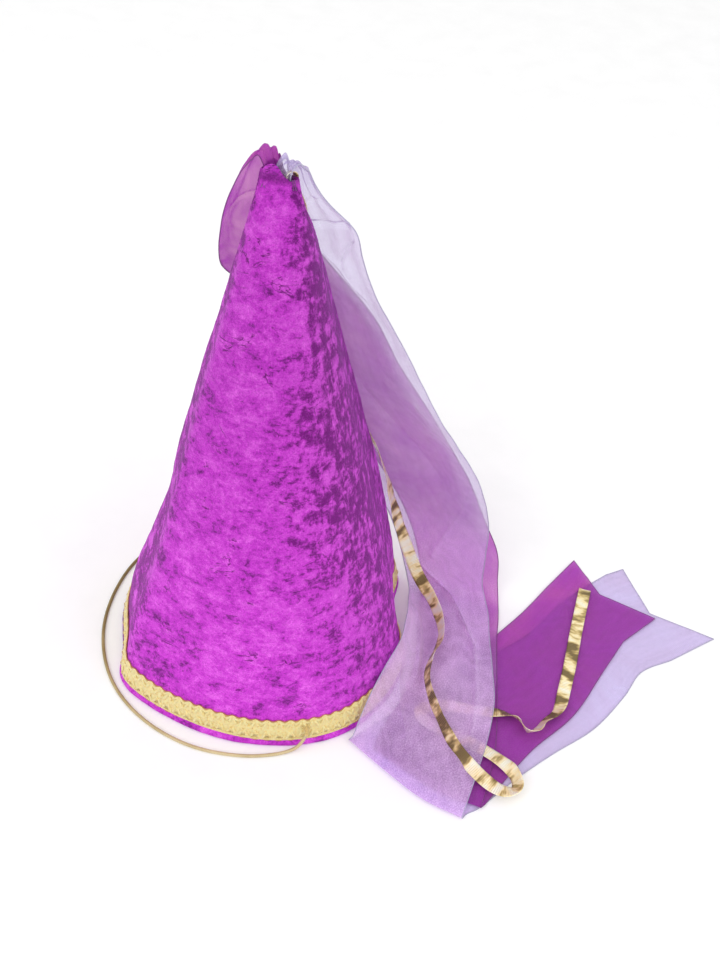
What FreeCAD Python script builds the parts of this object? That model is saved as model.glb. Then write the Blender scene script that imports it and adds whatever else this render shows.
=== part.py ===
import FreeCAD, Part
import math
import os

# A tall brimless costume hat: a stiff cone covered in crushed velvet, a gold braid above its
# hem, a chin elastic, and a veil of two organza ribbons and one narrow gold ribbon that come
# out of the open tip.  Millimetres, +Z up.  The origin is the middle of the rim, on the plane
# that the hem stands on.

Vec = FreeCAD.Vector

# ---- driving dimensions -------------------------------------------------------------------
CONE_HEIGHT = 324.0
TIP_RADIUS = 10.0
# The rim is a soft oval with two creases, at centre back (38 degrees) and centre front (211):
# (angle from +X, radius at the floor).
RIM = [(0, 91.5), (12, 91.5), (25, 96), (38, 106), (50, 98.5), (65, 89.5), (82, 85), (104, 83),
       (130, 84), (150, 88), (168, 89.5), (186, 86), (200, 86.5), (211, 91.5), (222, 89),
       (240, 83.5), (265, 82), (292, 86), (314, 90), (338, 91)]
RIM_REACH = max(radius for _, radius in RIM)
BACK_CREASE_ANGLE = 38.0
BELLY = 4.0              # how far the back crease bows out at the belly's height
BELLY_HEIGHT = 120.0
BELLY_SPREAD = 20.0      # degrees

COVER_THICKNESS = 1.2
FILM = 0.2               # glue film or slack between one layer and the next
CARD_THICKNESS = 1.0
TAPE_THICKNESS = 0.3
TAPE_WIDTH = 22.0
LINING_THICKNESS = 0.5
TURN_UP_HEIGHT = 14.0    # velvet folded to the inside at the rim
CARD_TOP = 318.0
LINING_TOP = 296.0

CARD_INSET = COVER_THICKNESS + FILM
TURN_UP_INSET = CARD_INSET + CARD_THICKNESS + FILM
TURN_UP_DEPTH = TURN_UP_INSET + 1.0
TAPE_INSET = TURN_UP_INSET
LINING_INSET = TAPE_INSET + TAPE_THICKNESS + FILM

BRAID_BOTTOM = 5.0
BRAID_WIDTH = 14.0
BRAID_THICKNESS = 1.5
BRAID_GAP = 0.1
BRAID_FACE = BRAID_GAP + BRAID_THICKNESS
STITCH_COUNT = 72
STITCH_LENGTH = 3.0
STITCH_SECTION = 0.5
STITCH_HEIGHT = BRAID_BOTTOM + 3.0
HEM_STITCH_COUNT = 60
HEM_STITCH_HEIGHT = TURN_UP_HEIGHT - 2.5

ELASTIC_DIAMETER = 2.0
TACK_RADIUS = 1.8
FRONT_TACK = (37.9, -79.5, 14.4)
BACK_TACK = (-33.4, 77.6, 14.4)
# The elastic lies on the table round the left of the hat, from tack to tack.
ELASTIC_ROUTE = [
    (37.0, -80.6, 12.0), (34.6, -82.8, 5.5), (29.5, -85.4, 1.7), (19.0, -89.5, 1.0),
    (1.0, -93.0, 1.0), (-25.0, -91.5, 1.0), (-48.0, -83.0, 1.0), (-68.0, -69.5, 1.0),
    (-84.0, -51.5, 1.0), (-94.5, -29.0, 1.0), (-99.5, -5.0, 1.0), (-98.5, 21.0, 1.0),
    (-92.5, 46.0, 1.0), (-81.0, 66.0, 1.0), (-66.5, 80.0, 1.0), (-53.0, 87.0, 1.0),
    (-43.0, 87.5, 1.7), (-37.5, 84.0, 5.5), (-34.2, 79.8, 12.0)]

RIBBON_THICKNESS = 0.4
GOLD_WIDTH = 8.0
GOLD_PINCHED = 4.0       # its width where it is crumpled in the tip's mouth
GOLD_PINCHED_POINTS = 4
GOLD_THICKNESS = 0.3
FLOOR_LILAC_TAIL = 0.5
FLOOR_MAGENTA_TAIL = 1.5
FLOOR_MAGENTA = 2.6
FLOOR_LILAC = 4.6
FLOOR_GOLD_UNDER = 3.6

ROOT_HEIGHT = 308.0
BINDING_HEIGHT = 311.0
BINDING_RADIUS = 6.2
BINDING_THREAD = 0.6
BINDING_TURNS = 3
TIP_STITCH_COUNT = 4
TIP_STITCH_HEIGHT = 320.5

# Each cross-section of an organza ribbon: left edge, two points between, right edge.
LILAC_HANGING = [
    [(-4, -2.5, 308), (-1.3, -2.5, 308), (1.3, -2.5, 308), (4, -2.5, 308)],
    [(-4.5, -3, 318), (-1.5, -3, 318), (1.5, -3, 318), (4.5, -3, 318)],
    [(-4, -2.5, 327), (-1, -3, 328), (2.5, -3.2, 329), (6, -3, 330)],
    [(1, 5, 334), (4, 4, 336), (7, 3, 337), (10, 2, 336)],
    [(2, 14, 329), (6, 14, 330), (10.5, 12.5, 329), (14.5, 10.5, 328)],
    [(3, 19, 306), (10, 18.5, 307), (17, 16, 308), (23, 12, 309)],
    [(6, 24, 287), (16, 23, 288), (27, 19, 290), (36, 12.5, 292)],
    [(9, 29, 270), (20, 28, 272), (31, 22, 275), (40, 14, 278)],
    [(14, 35, 246), (28, 33, 248), (40, 27, 251), (49, 17, 254)],
    [(18, 42, 214), (36, 40, 217), (53, 33, 219), (67, 22, 219)],
    [(28, 52, 164), (51, 49, 166), (73, 41, 168), (92, 28, 169)],
    [(50, 61, 115), (74, 56, 117), (99, 47, 119), (121, 35, 119)],
    [(60, 69, 78), (86, 61, 78), (110, 51, 79), (133, 41, 79)],
    [(73.5, 65, 53), (95, 60, 50), (116, 52, 47), (136, 44, 46)],
    [(84, 59, 27), (102, 56, 22), (120, 52, 19), (138, 47, 20)],
    [(91, 48.5, 8), (107, 49, 7), (124, 49, 7), (141, 47, 8)]]
LILAC_FLOOR = [
    [(91, 33, 12), (105, 35, 7), (124, 37), (144, 35)],
    [(90, 13, 22), (104, 14, 8), (124, 16), (145, 14)],
    [(87, -14, 27), (101, -13, 10), (123, -12), (147, -12)],
    [(79, -37, 28), (95, -38, 10), (120, -38), (148, -37)],
    [(72, -53, 22), (90, -58, 8), (116, -62), (144, -64)],
    [(67, -65, 12), (85, -76), (110, -86), (138, -88)],
    [(64, -72.5), (84, -88), (108, -104), (131, -114)]]
LILAC_FOLD = [(62, -74), (83, -91), (107, -108.5), (130, -118)]
LILAC_TAIL = [
    [(64, -71.5), (84, -88), (108, -104), (132, -114.5)],
    [(90, -47), (106, -62), (124, -82), (141, -108)],
    [(118, -23), (131, -42), (146, -63), (160, -88)],
    [(150, 6), (161, -18), (172, -43), (184, -66)],
    [(173, 27), (186, 3), (198, -21), (210, -44)],
    [(190, 50), (205, 28), (219, 7), (231, -16)],
    [(205, 67), (219, 46), (232, 26), (243, 4)],
    [(226, 86), (236, 62), (250, 42), (264, 17)],
    [(238, 93), (246, 62), (267, 46), (294, 39)]]

MAGENTA_HANGING = [
    [(-4, 2.5, 308), (-1.3, 2.5, 308), (1.3, 2.5, 308), (4, 2.5, 308)],
    [(-5, 2.5, 318), (-1.7, 3, 318), (1.7, 3, 318), (4.5, 2.5, 318)],
    [(-8, 0, 328), (-5, 1.5, 328), (-2, 3, 328), (1, 5, 328)],
    [(-12, 1, 334), (-9, 3, 338), (-5, 5, 339), (-1, 7, 336)],
    [(-17, 3, 326), (-14, 9, 328), (-8, 14, 329), (-2, 16, 328)],
    [(-24, 2, 306), (-19, 13, 306), (-10, 20, 306), (1, 22, 306)],
    [(-27, 3, 289), (-23, 18, 288), (-11, 28, 287), (4, 30, 287)],
    [(-28, 12, 266), (-17, 32, 262), (6, 40, 259), (28, 35, 257)],
    [(-18, 38, 236), (4, 47, 233), (27, 46, 229), (49, 37, 226)],
    [(1, 50, 202), (23, 54, 198), (46, 50, 194), (67, 41, 192)],
    [(21, 60, 160), (44, 59, 157), (68, 54, 155), (90, 45, 154)],
    [(48, 72, 114), (71, 67, 112), (94, 59, 110), (116, 49, 108)],
    [(72, 73, 74), (93, 67, 72), (114, 60, 70), (133, 51, 70)],
    [(88, 70, 42), (107, 65, 38), (127, 60, 37), (145, 53, 39)],
    [(97, 64, 15), (114, 62, 11), (132, 60, 10), (149, 55, 13)]]
MAGENTA_FLOOR = [
    [(100, 53), (114, 52), (132, 50), (151, 46)],
    [(99, 35), (114, 36), (132, 36), (151, 33)],
    [(99, 13), (115, 14), (133, 15), (150, 14)],
    [(97, -14), (114, -13), (132, -13), (150, -13)],
    [(92, -38), (111, -38), (130, -39), (150, -40)],
    [(84, -57), (103, -60), (126, -64), (149, -67)],
    [(79, -70), (99, -77), (122, -86), (145, -92)],
    [(78, -76), (97, -88.5), (118, -101), (141, -108)]]
MAGENTA_FOLD = [(77, -77.5), (96, -90), (117, -102.5), (140, -110)]
MAGENTA_TAIL = [
    [(78, -76), (97, -88.5), (118, -101), (142, -108)],
    [(98, -50), (115, -64), (132, -80), (150, -96)],
    [(124, -15), (139, -32), (154, -49), (171, -66)],
    [(150, 20), (166, 2), (182, -18), (198, -36)],
    [(168, 43), (184, 28), (201, 13), (218, 0)],
    [(185, 68), (201, 54), (217, 40), (233, 27)],
    [(204, 95), (212, 74), (230, 61), (256, 50)]]

UP = (0, 0, 1)
# The gold ribbon's route with, at each point, the way that its flat face looks.
GOLD_HANGING = [
    ((0, 0, 308), (0, -1, 0)), ((0.5, 0, 318), (0, -1, 0)), ((4, -1, 327.5), (-0.5, 0, 1)),
    ((10, 5.5, 328.5), (0.4, 0.4, 0.8)), ((11.5, 12, 317), (0.5, 0.8, 0.3)),
    ((10.5, 16.5, 302), (0.4, 0.9, 0.2)), ((10, 22, 283), (0.4, 0.9, 0.2)),
    ((13.5, 29, 256), (0.4, 0.9, 0.2)), ((23.5, 40, 206), (0.45, 0.85, 0.25)),
    ((39.5, 47.5, 160), (0.5, 0.8, 0.3)), ((62.2, 48.6, 120), (0.85, 0.3, 0.3)),
    ((76, 48.5, 70), (0.7, -0.5, 0.4)), ((92, 48, 28), (0.2, -0.9, 0.4)),
    ((99, 46, 15), (0.1, -0.6, 0.8))]
GOLD_OVER = [(107, 37, 11.0), (114, 16, 10.5), (113, 0, 11.0), (107, -14, 13.0), (105, -31, 13.0),
             (112, -50, 10.0), (125, -75, 7.0), (140, -92, 5.8)]
GOLD_LOOP = [(152, -100.5, 5.5), (162.5, -98, 6.0), (160.5, -86, 5.6), (152, -78, 4.4)]
GOLD_UNDER = [(140, -70), (122, -62), (107, -56), (102, -49), (108, -43), (122, -42), (140, -43)]
GOLD_TAIL = [(156, -43.5, 4.0), (164, -47, 5.2), (166.5, -56, 5.6), (173.5, -55.5, 5.6),
             (178, -46.5, 4.6), (188.5, -37, 3.0), (192, -20, 2.4), (197, 2, 2.4),
             (203, 36, 2.4), (210, 68, 2.4)]


# ---- the cone's form ----------------------------------------------------------------------
def wall_radius(rim_radius, angle, height):
    """The velvet's outer radius on the ray at this angle and height."""
    straight = TIP_RADIUS + (rim_radius - TIP_RADIUS) * (1 - height / CONE_HEIGHT)
    if height < BELLY_HEIGHT:
        share = height / BELLY_HEIGHT
    else:
        share = (CONE_HEIGHT - height) / (CONE_HEIGHT - BELLY_HEIGHT)
    turn = (angle - BACK_CREASE_ANGLE) / BELLY_SPREAD
    return straight + BELLY * max(share, 0) * math.exp(-turn * turn)


def section(height, inset):
    """A closed smooth outline of the cone at one height, set in from the velvet's face."""
    points = []
    for degrees, rim_radius in RIM:
        radius = wall_radius(rim_radius, degrees, height) - inset
        angle = math.radians(degrees)
        points.append(Vec(radius * math.cos(angle), radius * math.sin(angle), height))
    curve = Part.BSplineCurve()
    steps = [degrees / 360.0 for degrees, _ in RIM] + [1.0]
    curve.interpolate(Points=points, PeriodicFlag=True, Parameters=steps)
    return Part.Wire([curve.toShape()])


def cone_solid(low, high, inset):
    """The solid inside the cone's wall, with its bend at the belly's height."""
    heights = [low] + [BELLY_HEIGHT] * (low < BELLY_HEIGHT < high) + [high]
    pieces = []
    for bottom, top in zip(heights[:-1], heights[1:]):
        pieces.append(Part.makeLoft([section(bottom, inset), section(top, inset)], True, True))
    solid = pieces[0]
    for piece in pieces[1:]:
        solid = solid.fuse(piece)
    return solid


def cone_shell(low, high, outer_inset, inner_inset):
    """A wall between two insets, flat at both ends."""
    return cone_solid(low, high, outer_inset).cut(cone_solid(low - 1, high + 1, inner_inset))


def rim_point(degrees, height, inset):
    """A point of the section curve near an angle, and the outward direction there."""
    curve = section(height, inset).Edges[0].Curve
    first, last = curve.FirstParameter, curve.LastParameter
    here = first + (last - first) * (degrees % 360.0) / 360.0
    along = curve.tangent(here)[0]
    return curve.value(here), Vec(along.y, -along.x, 0).normalize(), along


# ---- the hat's shells ---------------------------------------------------------------------
def make_velvet_cover():
    """The sleeve of velvet, with its lower edge folded round the card to the inside."""
    cover = cone_solid(0, CONE_HEIGHT, 0)
    cover = cover.cut(cone_solid(-1, TURN_UP_HEIGHT, TURN_UP_DEPTH))
    cover = cover.cut(cone_shell(COVER_THICKNESS, TURN_UP_HEIGHT, COVER_THICKNESS, TURN_UP_INSET))
    return cover.cut(cone_solid(TURN_UP_HEIGHT, CONE_HEIGHT + 1, COVER_THICKNESS))


def make_card_cone():
    inner = CARD_INSET + CARD_THICKNESS
    return cone_shell(COVER_THICKNESS + FILM, CARD_TOP, CARD_INSET, inner)


def make_card_join_tape():
    """Tape on the inside of the card, down the line where its two edges meet."""
    low, high = TURN_UP_HEIGHT + 2, LINING_TOP - 4
    skin = cone_shell(low, high, TAPE_INSET, TAPE_INSET + TAPE_THICKNESS)
    slab = Part.makeBox(RIM_REACH, TAPE_WIDTH, high, Vec(0, -TAPE_WIDTH / 2, 0))
    slab.rotate(Vec(0, 0, 0), Vec(0, 0, 1), BACK_CREASE_ANGLE)
    return skin.common(slab)


def make_inner_lining():
    inner = LINING_INSET + LINING_THICKNESS
    return cone_shell(TURN_UP_HEIGHT + FILM, LINING_TOP, LINING_INSET, inner)


def make_gold_braid():
    return cone_shell(BRAID_BOTTOM, BRAID_BOTTOM + BRAID_WIDTH, -BRAID_FACE, -BRAID_GAP)


def stitch_ring(count, height, inset, slant):
    """A row of short thread bars round the rim; each slants by slant mm over its length."""
    bars = []
    for k in range(count):
        place, outward, along = rim_point(360.0 * k / count, height, inset)
        half = (along * STITCH_LENGTH + Vec(0, 0, slant)) * 0.5
        bar = Part.makeCylinder(STITCH_SECTION / 2, half.Length * 2, place - half, half)
        bars.append(bar)
    return Part.makeCompound(bars)


def make_braid_stitches():
    return stitch_ring(STITCH_COUNT, STITCH_HEIGHT, -(BRAID_FACE + STITCH_SECTION), 0.6)


def make_hem_stitches():
    inset = TURN_UP_DEPTH + STITCH_SECTION + FILM
    return stitch_ring(HEM_STITCH_COUNT, HEM_STITCH_HEIGHT, inset, 1.6)


# ---- the chin elastic ---------------------------------------------------------------------
def tube(points, diameter, name):
    """A round tube along straight runs joined by tangent arcs, and its measures."""
    pts = [Vec(*p) for p in points]
    runs = [(b - a).Length for a, b in zip(pts[:-1], pts[1:])]
    edges = []
    radii = []
    start = pts[0]
    for k in range(1, len(pts) - 1):
        before = (pts[k - 1] - pts[k]).normalize()
        after = (pts[k + 1] - pts[k]).normalize()
        turn = math.pi - before.getAngle(after)
        reach = 0.45 * min(runs[k - 1], runs[k])
        radius = reach / math.tan(turn / 2)
        radii.append(radius)
        inner = (before + after).normalize()
        middle = pts[k] + inner * (radius / math.cos(turn / 2) - radius)
        first, last = pts[k] + before * reach, pts[k] + after * reach
        edges.append(Part.LineSegment(start, first).toShape())
        edges.append(Part.Arc(first, middle, last).toShape())
        start = last
    edges.append(Part.LineSegment(start, pts[-1]).toShape())
    path = Part.Wire(edges)
    profile = Part.Wire([Part.makeCircle(diameter / 2, pts[0], pts[1] - pts[0])])
    solid = path.makePipeShell([profile], True, True)
    expected = math.pi * diameter * diameter / 4 * path.Length
    print(name, "length", round(path.Length, 1), "volume / expected",
          round(solid.Volume / expected, 4), "radii", [round(r, 1) for r in radii])
    return solid


def make_elastic():
    return tube(ELASTIC_ROUTE, ELASTIC_DIAMETER, "chin_elastic")


def make_tack(centre):
    """The lump of thread that sews one end of the elastic to the braid."""
    return Part.makeSphere(TACK_RADIUS, Vec(*centre))


# ---- the veil -----------------------------------------------------------------------------
def at_height(row, height):
    """Lays a cross-section on the floor at this height, where its points state none."""
    return [Vec(*p) if len(p) == 3 else Vec(p[0], p[1], height) for p in row]


def grid_normals(grid):
    """The surface's normal at each point of a grid of rows."""
    normals = []
    for i, row in enumerate(grid):
        before, after = grid[max(i - 1, 0)], grid[min(i + 1, len(grid) - 1)]
        line = []
        for j in range(len(row)):
            across = row[min(j + 1, len(row) - 1)] - row[max(j - 1, 0)]
            line.append(across.cross(after[j] - before[j]).normalize())
        normals.append(line)
    return normals


def thin_solid(grid, thickness):
    """A closed solid of flat facets around a grid of rows, half its thickness each side."""
    normals = grid_normals(grid)
    half = thickness / 2
    rows, columns = len(grid), len(grid[0])
    front = [[p + n * half for p, n in zip(*pair)] for pair in zip(grid, normals)]
    back = [[p - n * half for p, n in zip(*pair)] for pair in zip(grid, normals)]
    faces = []

    def quad(a, b, c, d):
        for corners in ((a, b, c), (a, c, d)):
            faces.append(Part.Face(Part.makePolygon([*corners, corners[0]])))

    for i in range(rows - 1):
        for j in range(columns - 1):
            quad(front[i][j], front[i][j + 1], front[i + 1][j + 1], front[i + 1][j])
            quad(back[i][j], back[i + 1][j], back[i + 1][j + 1], back[i][j + 1])
        quad(front[i][0], front[i + 1][0], back[i + 1][0], back[i][0])
        quad(front[i][-1], back[i][-1], back[i + 1][-1], front[i + 1][-1])
    for j in range(columns - 1):
        quad(front[0][j], back[0][j], back[0][j + 1], front[0][j + 1])
        quad(front[-1][j], front[-1][j + 1], back[-1][j + 1], back[-1][j])
    shell = Part.makeShell(faces)
    shell.sewShape()
    solid = Part.makeSolid(shell)
    if solid.Volume < 0:
        solid.reverse()
    return solid


def organza(hanging, floor, fold, tail, floor_height, tail_height, name):
    """One organza ribbon: hanging, laid on the floor, folded under and laid back."""
    rows = [at_height(row, floor_height) for row in hanging + floor]
    rows.append(at_height(fold, (floor_height + tail_height) / 2))
    rows += [at_height(row, tail_height) for row in tail]
    length = sum(((a[1] + a[2] - b[1] - b[2]) * 0.5).Length for a, b in zip(rows[:-1], rows[1:]))
    print(name, "length along its middle", round(length, 1))
    return thin_solid(rows, RIBBON_THICKNESS)


def make_veil_lilac():
    return organza(LILAC_HANGING, LILAC_FLOOR, LILAC_FOLD, LILAC_TAIL,
                   FLOOR_LILAC, FLOOR_LILAC_TAIL, "veil_lilac")


def make_veil_magenta():
    return organza(MAGENTA_HANGING, MAGENTA_FLOOR, MAGENTA_FOLD, MAGENTA_TAIL,
                   FLOOR_MAGENTA, FLOOR_MAGENTA_TAIL, "veil_magenta")


ARC_POINTS = 3


def rounded(points, faces):
    """Points along straight runs joined by tangent arcs, three to an arc, and their faces."""
    runs = [(b - a).Length for a, b in zip(points[:-1], points[1:])]
    out = [(points[0], faces[0])]
    radii = []
    for k in range(1, len(points) - 1):
        before = (points[k - 1] - points[k]).normalize()
        after = (points[k + 1] - points[k]).normalize()
        turn = math.pi - before.getAngle(after)
        reach = 0.45 * min(runs[k - 1], runs[k])
        radius = reach / math.tan(turn / 2)
        radii.append(round(radius, 1))
        inner = (before + after).normalize()
        middle = points[k] + inner * (radius / math.cos(turn / 2) - radius)
        for place in (points[k] + before * reach, middle, points[k] + after * reach):
            out.append((place, faces[k]))
    out.append((points[-1], faces[-1]))
    return out, radii


def make_gold_ribbon():
    """The narrow ribbon: a flat band along its route, looped under the lilac and back."""
    route = [(Vec(*p), Vec(*face)) for p, face in GOLD_HANGING]
    route += [(Vec(*p), Vec(*UP)) for p in GOLD_OVER + GOLD_LOOP]
    route += [(Vec(x, y, FLOOR_GOLD_UNDER), Vec(*UP)) for x, y in GOLD_UNDER]
    route += [(Vec(*p), Vec(*UP)) for p in GOLD_TAIL]
    line, radii = rounded([p for p, _ in route], [face for _, face in route])
    pinched = 1 + ARC_POINTS * (GOLD_PINCHED_POINTS - 1)
    rows = []
    for k, (place, face) in enumerate(line):
        along = line[min(k + 1, len(line) - 1)][0] - line[max(k - 1, 0)][0]
        width = GOLD_PINCHED if k < pinched else GOLD_WIDTH
        side = along.cross(face).normalize() * (width / 2)
        rows.append([place - side, place + side])
    length = sum((b[0] - a[0]).Length for a, b in zip(line[:-1], line[1:]))
    print("gold_ribbon length", round(length, 1), "radii", radii)
    return thin_solid(rows, GOLD_THICKNESS)


def make_tip_binding():
    """Thread wound round the gathered ends of the three ribbons, inside the tip."""
    rings = []
    for k in range(BINDING_TURNS):
        height = BINDING_HEIGHT + k * (BINDING_THREAD + 0.1)
        rings.append(Part.makeTorus(BINDING_RADIUS, BINDING_THREAD / 2, Vec(0, 0, height)))
    return Part.makeCompound(rings)


def make_tip_stitches():
    """Thread bars across the mouth's edge that hold the velvet turned in at the tip."""
    bars = []
    for k in range(TIP_STITCH_COUNT):
        place, outward, along = rim_point(20.0 + 360.0 * k / TIP_STITCH_COUNT,
                                          TIP_STITCH_HEIGHT, COVER_THICKNESS + 0.7)
        half = Vec(0, 0, STITCH_LENGTH / 2)
        bars.append(Part.makeCylinder(STITCH_SECTION / 2, STITCH_LENGTH, place - half, half))
    return Part.makeCompound(bars)


NODES = {
    "card_cone": make_card_cone,
    "card_join_tape": make_card_join_tape,
    "inner_lining": make_inner_lining,
    "velvet_cover": make_velvet_cover,
    "hem_stitches": make_hem_stitches,
    "gold_braid": make_gold_braid,
    "braid_stitches": make_braid_stitches,
    "chin_elastic": make_elastic,
    "elastic_tack_front": lambda: make_tack(FRONT_TACK),
    "elastic_tack_back": lambda: make_tack(BACK_TACK),
    "veil_magenta": make_veil_magenta,
    "veil_lilac": make_veil_lilac,
    "gold_ribbon": make_gold_ribbon,
    "tip_binding_thread": make_tip_binding,
    "tip_stitches": make_tip_stitches,
}

os.makedirs("parts", exist_ok=True)
for node, make in NODES.items():
    shape = make()
    shape.exportStep("parts/" + node + ".step")
    print(node, "valid", shape.isValid(), "solids", len(shape.Solids),
          "volume", round(shape.Volume, 1))
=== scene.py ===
import math
import random

import bpy
import numpy as np
from mathutils import Matrix, Vector, noise
from mathutils.bvhtree import BVHTree


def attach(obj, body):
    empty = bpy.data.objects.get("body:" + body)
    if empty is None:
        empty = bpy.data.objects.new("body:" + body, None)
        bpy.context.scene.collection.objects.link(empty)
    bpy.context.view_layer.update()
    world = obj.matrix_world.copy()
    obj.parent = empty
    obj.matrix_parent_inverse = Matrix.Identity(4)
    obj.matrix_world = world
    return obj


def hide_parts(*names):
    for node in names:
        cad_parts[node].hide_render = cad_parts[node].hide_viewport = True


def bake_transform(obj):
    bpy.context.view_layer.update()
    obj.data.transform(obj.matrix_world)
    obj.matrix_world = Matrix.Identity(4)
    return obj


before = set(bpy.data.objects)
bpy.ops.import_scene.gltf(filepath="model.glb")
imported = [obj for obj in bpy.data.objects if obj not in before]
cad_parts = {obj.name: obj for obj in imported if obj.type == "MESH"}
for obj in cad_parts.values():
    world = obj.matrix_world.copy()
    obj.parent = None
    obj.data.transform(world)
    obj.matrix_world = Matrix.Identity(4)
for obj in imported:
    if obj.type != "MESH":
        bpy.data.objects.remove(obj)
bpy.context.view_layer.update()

MM = 0.001
UP = (0, 0, 1)


# ---- camera ----
CAMERA_PLACE = (0.0512, -0.5093, 0.6173)
CAMERA_PITCH = math.radians(42.98)
CAMERA_ROLL = math.radians(6.5)
CAMERA_LENS = 46.89


def make_camera():
    """Looks down at the hat from the front, tipped a little to one side."""
    pitch, roll = CAMERA_PITCH, CAMERA_ROLL
    forward = Vector((0, math.cos(pitch), -math.sin(pitch)))
    level = Vector((1, 0, 0))
    lifted = level.cross(forward)
    across = level * math.cos(roll) + lifted * math.sin(roll)
    upward = lifted * math.cos(roll) - level * math.sin(roll)
    data = bpy.data.cameras.new("camera")
    data.lens = CAMERA_LENS
    data.sensor_width = 36.0
    data.clip_start = 0.01
    camera = bpy.data.objects.new("camera", data)
    bpy.context.scene.collection.objects.link(camera)
    turn = Matrix((across, upward, -forward)).transposed().to_4x4()
    camera.matrix_world = Matrix.Translation(CAMERA_PLACE) @ turn
    bpy.context.scene.camera = camera


make_camera()


# ---- meshes and curves ----
def add_mesh(name, verts, faces, material, uvs=None):
    mesh = bpy.data.meshes.new(name)
    mesh.from_pydata([tuple(v) for v in verts], [], [tuple(f) for f in faces])
    if uvs is not None:
        layer = mesh.uv_layers.new(name="UVMap")
        corners = np.empty(len(mesh.loops), dtype=np.int32)
        mesh.loops.foreach_get("vertex_index", corners)
        layer.data.foreach_set("uv", np.asarray(uvs, dtype=np.float32)[corners].ravel())
    mesh.polygons.foreach_set("use_smooth", [True] * len(mesh.polygons))
    mesh.materials.append(material)
    mesh.update()
    obj = bpy.data.objects.new(name, mesh)
    bpy.context.scene.collection.objects.link(obj)
    return obj


def grid_faces(rows, columns, wrap_rows=False, wrap_columns=False, first=0):
    """Quads over a grid of points that is stored row by row."""
    faces = []
    for i in range(rows if wrap_rows else rows - 1):
        here, above = i * columns, ((i + 1) % rows) * columns
        for j in range(columns if wrap_columns else columns - 1):
            k = (j + 1) % columns
            faces.append((first + here + j, first + here + k, first + above + k, first + above + j))
    return faces


def nurbs(name, points, bevel=0.0, material=None):
    """A smooth curve along listed points, and a round cord where it has a bevel."""
    data = bpy.data.curves.new(name, "CURVE")
    data.dimensions = "3D"
    spline = data.splines.new("NURBS")
    spline.points.add(len(points) - 1)
    for place, point in zip(spline.points, points):
        place.co = (point[0], point[1], point[2], 1)
    spline.order_u = 3
    spline.use_endpoint_u = True
    spline.resolution_u = 16
    data.bevel_depth = bevel
    data.bevel_resolution = 4
    data.use_fill_caps = True
    if material is not None:
        data.materials.append(material)
    obj = bpy.data.objects.new(name, data)
    bpy.context.scene.collection.objects.link(obj)
    return obj


def read_line(points):
    """The points along the smooth curve that a list of points gives."""
    probe = nurbs("probe", points)
    mesh = bpy.data.meshes.new_from_object(probe)
    line = np.array([v.co[:] for v in mesh.vertices])
    bpy.data.objects.remove(probe)
    bpy.data.meshes.remove(mesh)
    return line


def through(points, steps):
    """The smooth curve, or grid, that passes through each point of a list."""
    points = np.asarray(points, float)
    hops = np.linalg.norm(np.diff(points, axis=0), axis=-1)
    hops = hops.reshape(len(hops), -1).mean(axis=1) ** 0.5
    slopes = np.diff(points, axis=0) / hops.reshape((-1,) + (1,) * (points.ndim - 1))
    tangents = np.empty_like(points)
    tangents[0], tangents[-1] = slopes[0], slopes[-1]
    for k in range(1, len(points) - 1):
        before, after = hops[k - 1], hops[k]
        tangents[k] = (slopes[k - 1] * after + slopes[k] * before) / (before + after)
    share = np.linspace(0, 1, steps, endpoint=False).reshape((-1,) + (1,) * (points.ndim - 1))
    rise = share * share * (3 - 2 * share)
    pieces = []
    for k in range(len(points) - 1):
        leave = share * (1 - share) ** 2 * hops[k] * tangents[k]
        arrive = share * share * (share - 1) * hops[k] * tangents[k + 1]
        pieces.append(points[k] * (1 - rise) + points[k + 1] * rise + leave + arrive)
    pieces.append(points[-1:])
    return np.concatenate(pieces)


def evenly(grid, spacing, steps):
    """Rows spaced evenly along the grid's middle, and each one's place among the given rows."""
    run = run_along(grid.mean(axis=1))
    wanted = np.linspace(0, run[-1], int(run[-1] / spacing))
    flat = grid.reshape(len(grid), -1)
    columns = [np.interp(wanted, run, flat[:, c]) for c in range(flat.shape[1])]
    place = np.interp(wanted, run, np.arange(len(grid)) / steps)
    return np.stack(columns, axis=1).reshape(len(wanted), -1, 3), place


def run_along(line):
    """How far along a line each of its points is."""
    hops = np.linalg.norm(np.diff(line, axis=0), axis=1)
    return np.concatenate([[0], np.cumsum(hops)])


def grid_normals(grid):
    """Which way a grid of points faces at each point."""
    along = np.gradient(grid, axis=0)
    across = np.gradient(grid, axis=1)
    normals = np.cross(across, along)
    return normals / np.maximum(np.linalg.norm(normals, axis=2, keepdims=True), 1e-12)


def unit(vectors):
    """The same vectors, each one unit long."""
    return vectors / np.maximum(np.linalg.norm(vectors, axis=-1, keepdims=True), 1e-12)


def tube_parts(line, outward, radius, sides=6, closed=False):
    """Rings of points round a line; outward says which way each ring's first point looks."""
    line = np.asarray(line, float)
    if closed:
        along = np.roll(line, -1, axis=0) - np.roll(line, 1, axis=0)
    else:
        along = np.gradient(line, axis=0)
    along = unit(along)
    side = unit(np.cross(along, outward))
    up = np.cross(side, along)
    angles = np.linspace(0, 2 * math.pi, sides, endpoint=False)
    radius = np.broadcast_to(np.asarray(radius, float), (len(line),))[:, None, None]
    ring = up[:, None] * np.cos(angles)[None, :, None] + side[:, None] * np.sin(angles)[None, :, None]
    return line[:, None] + ring * radius


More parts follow.
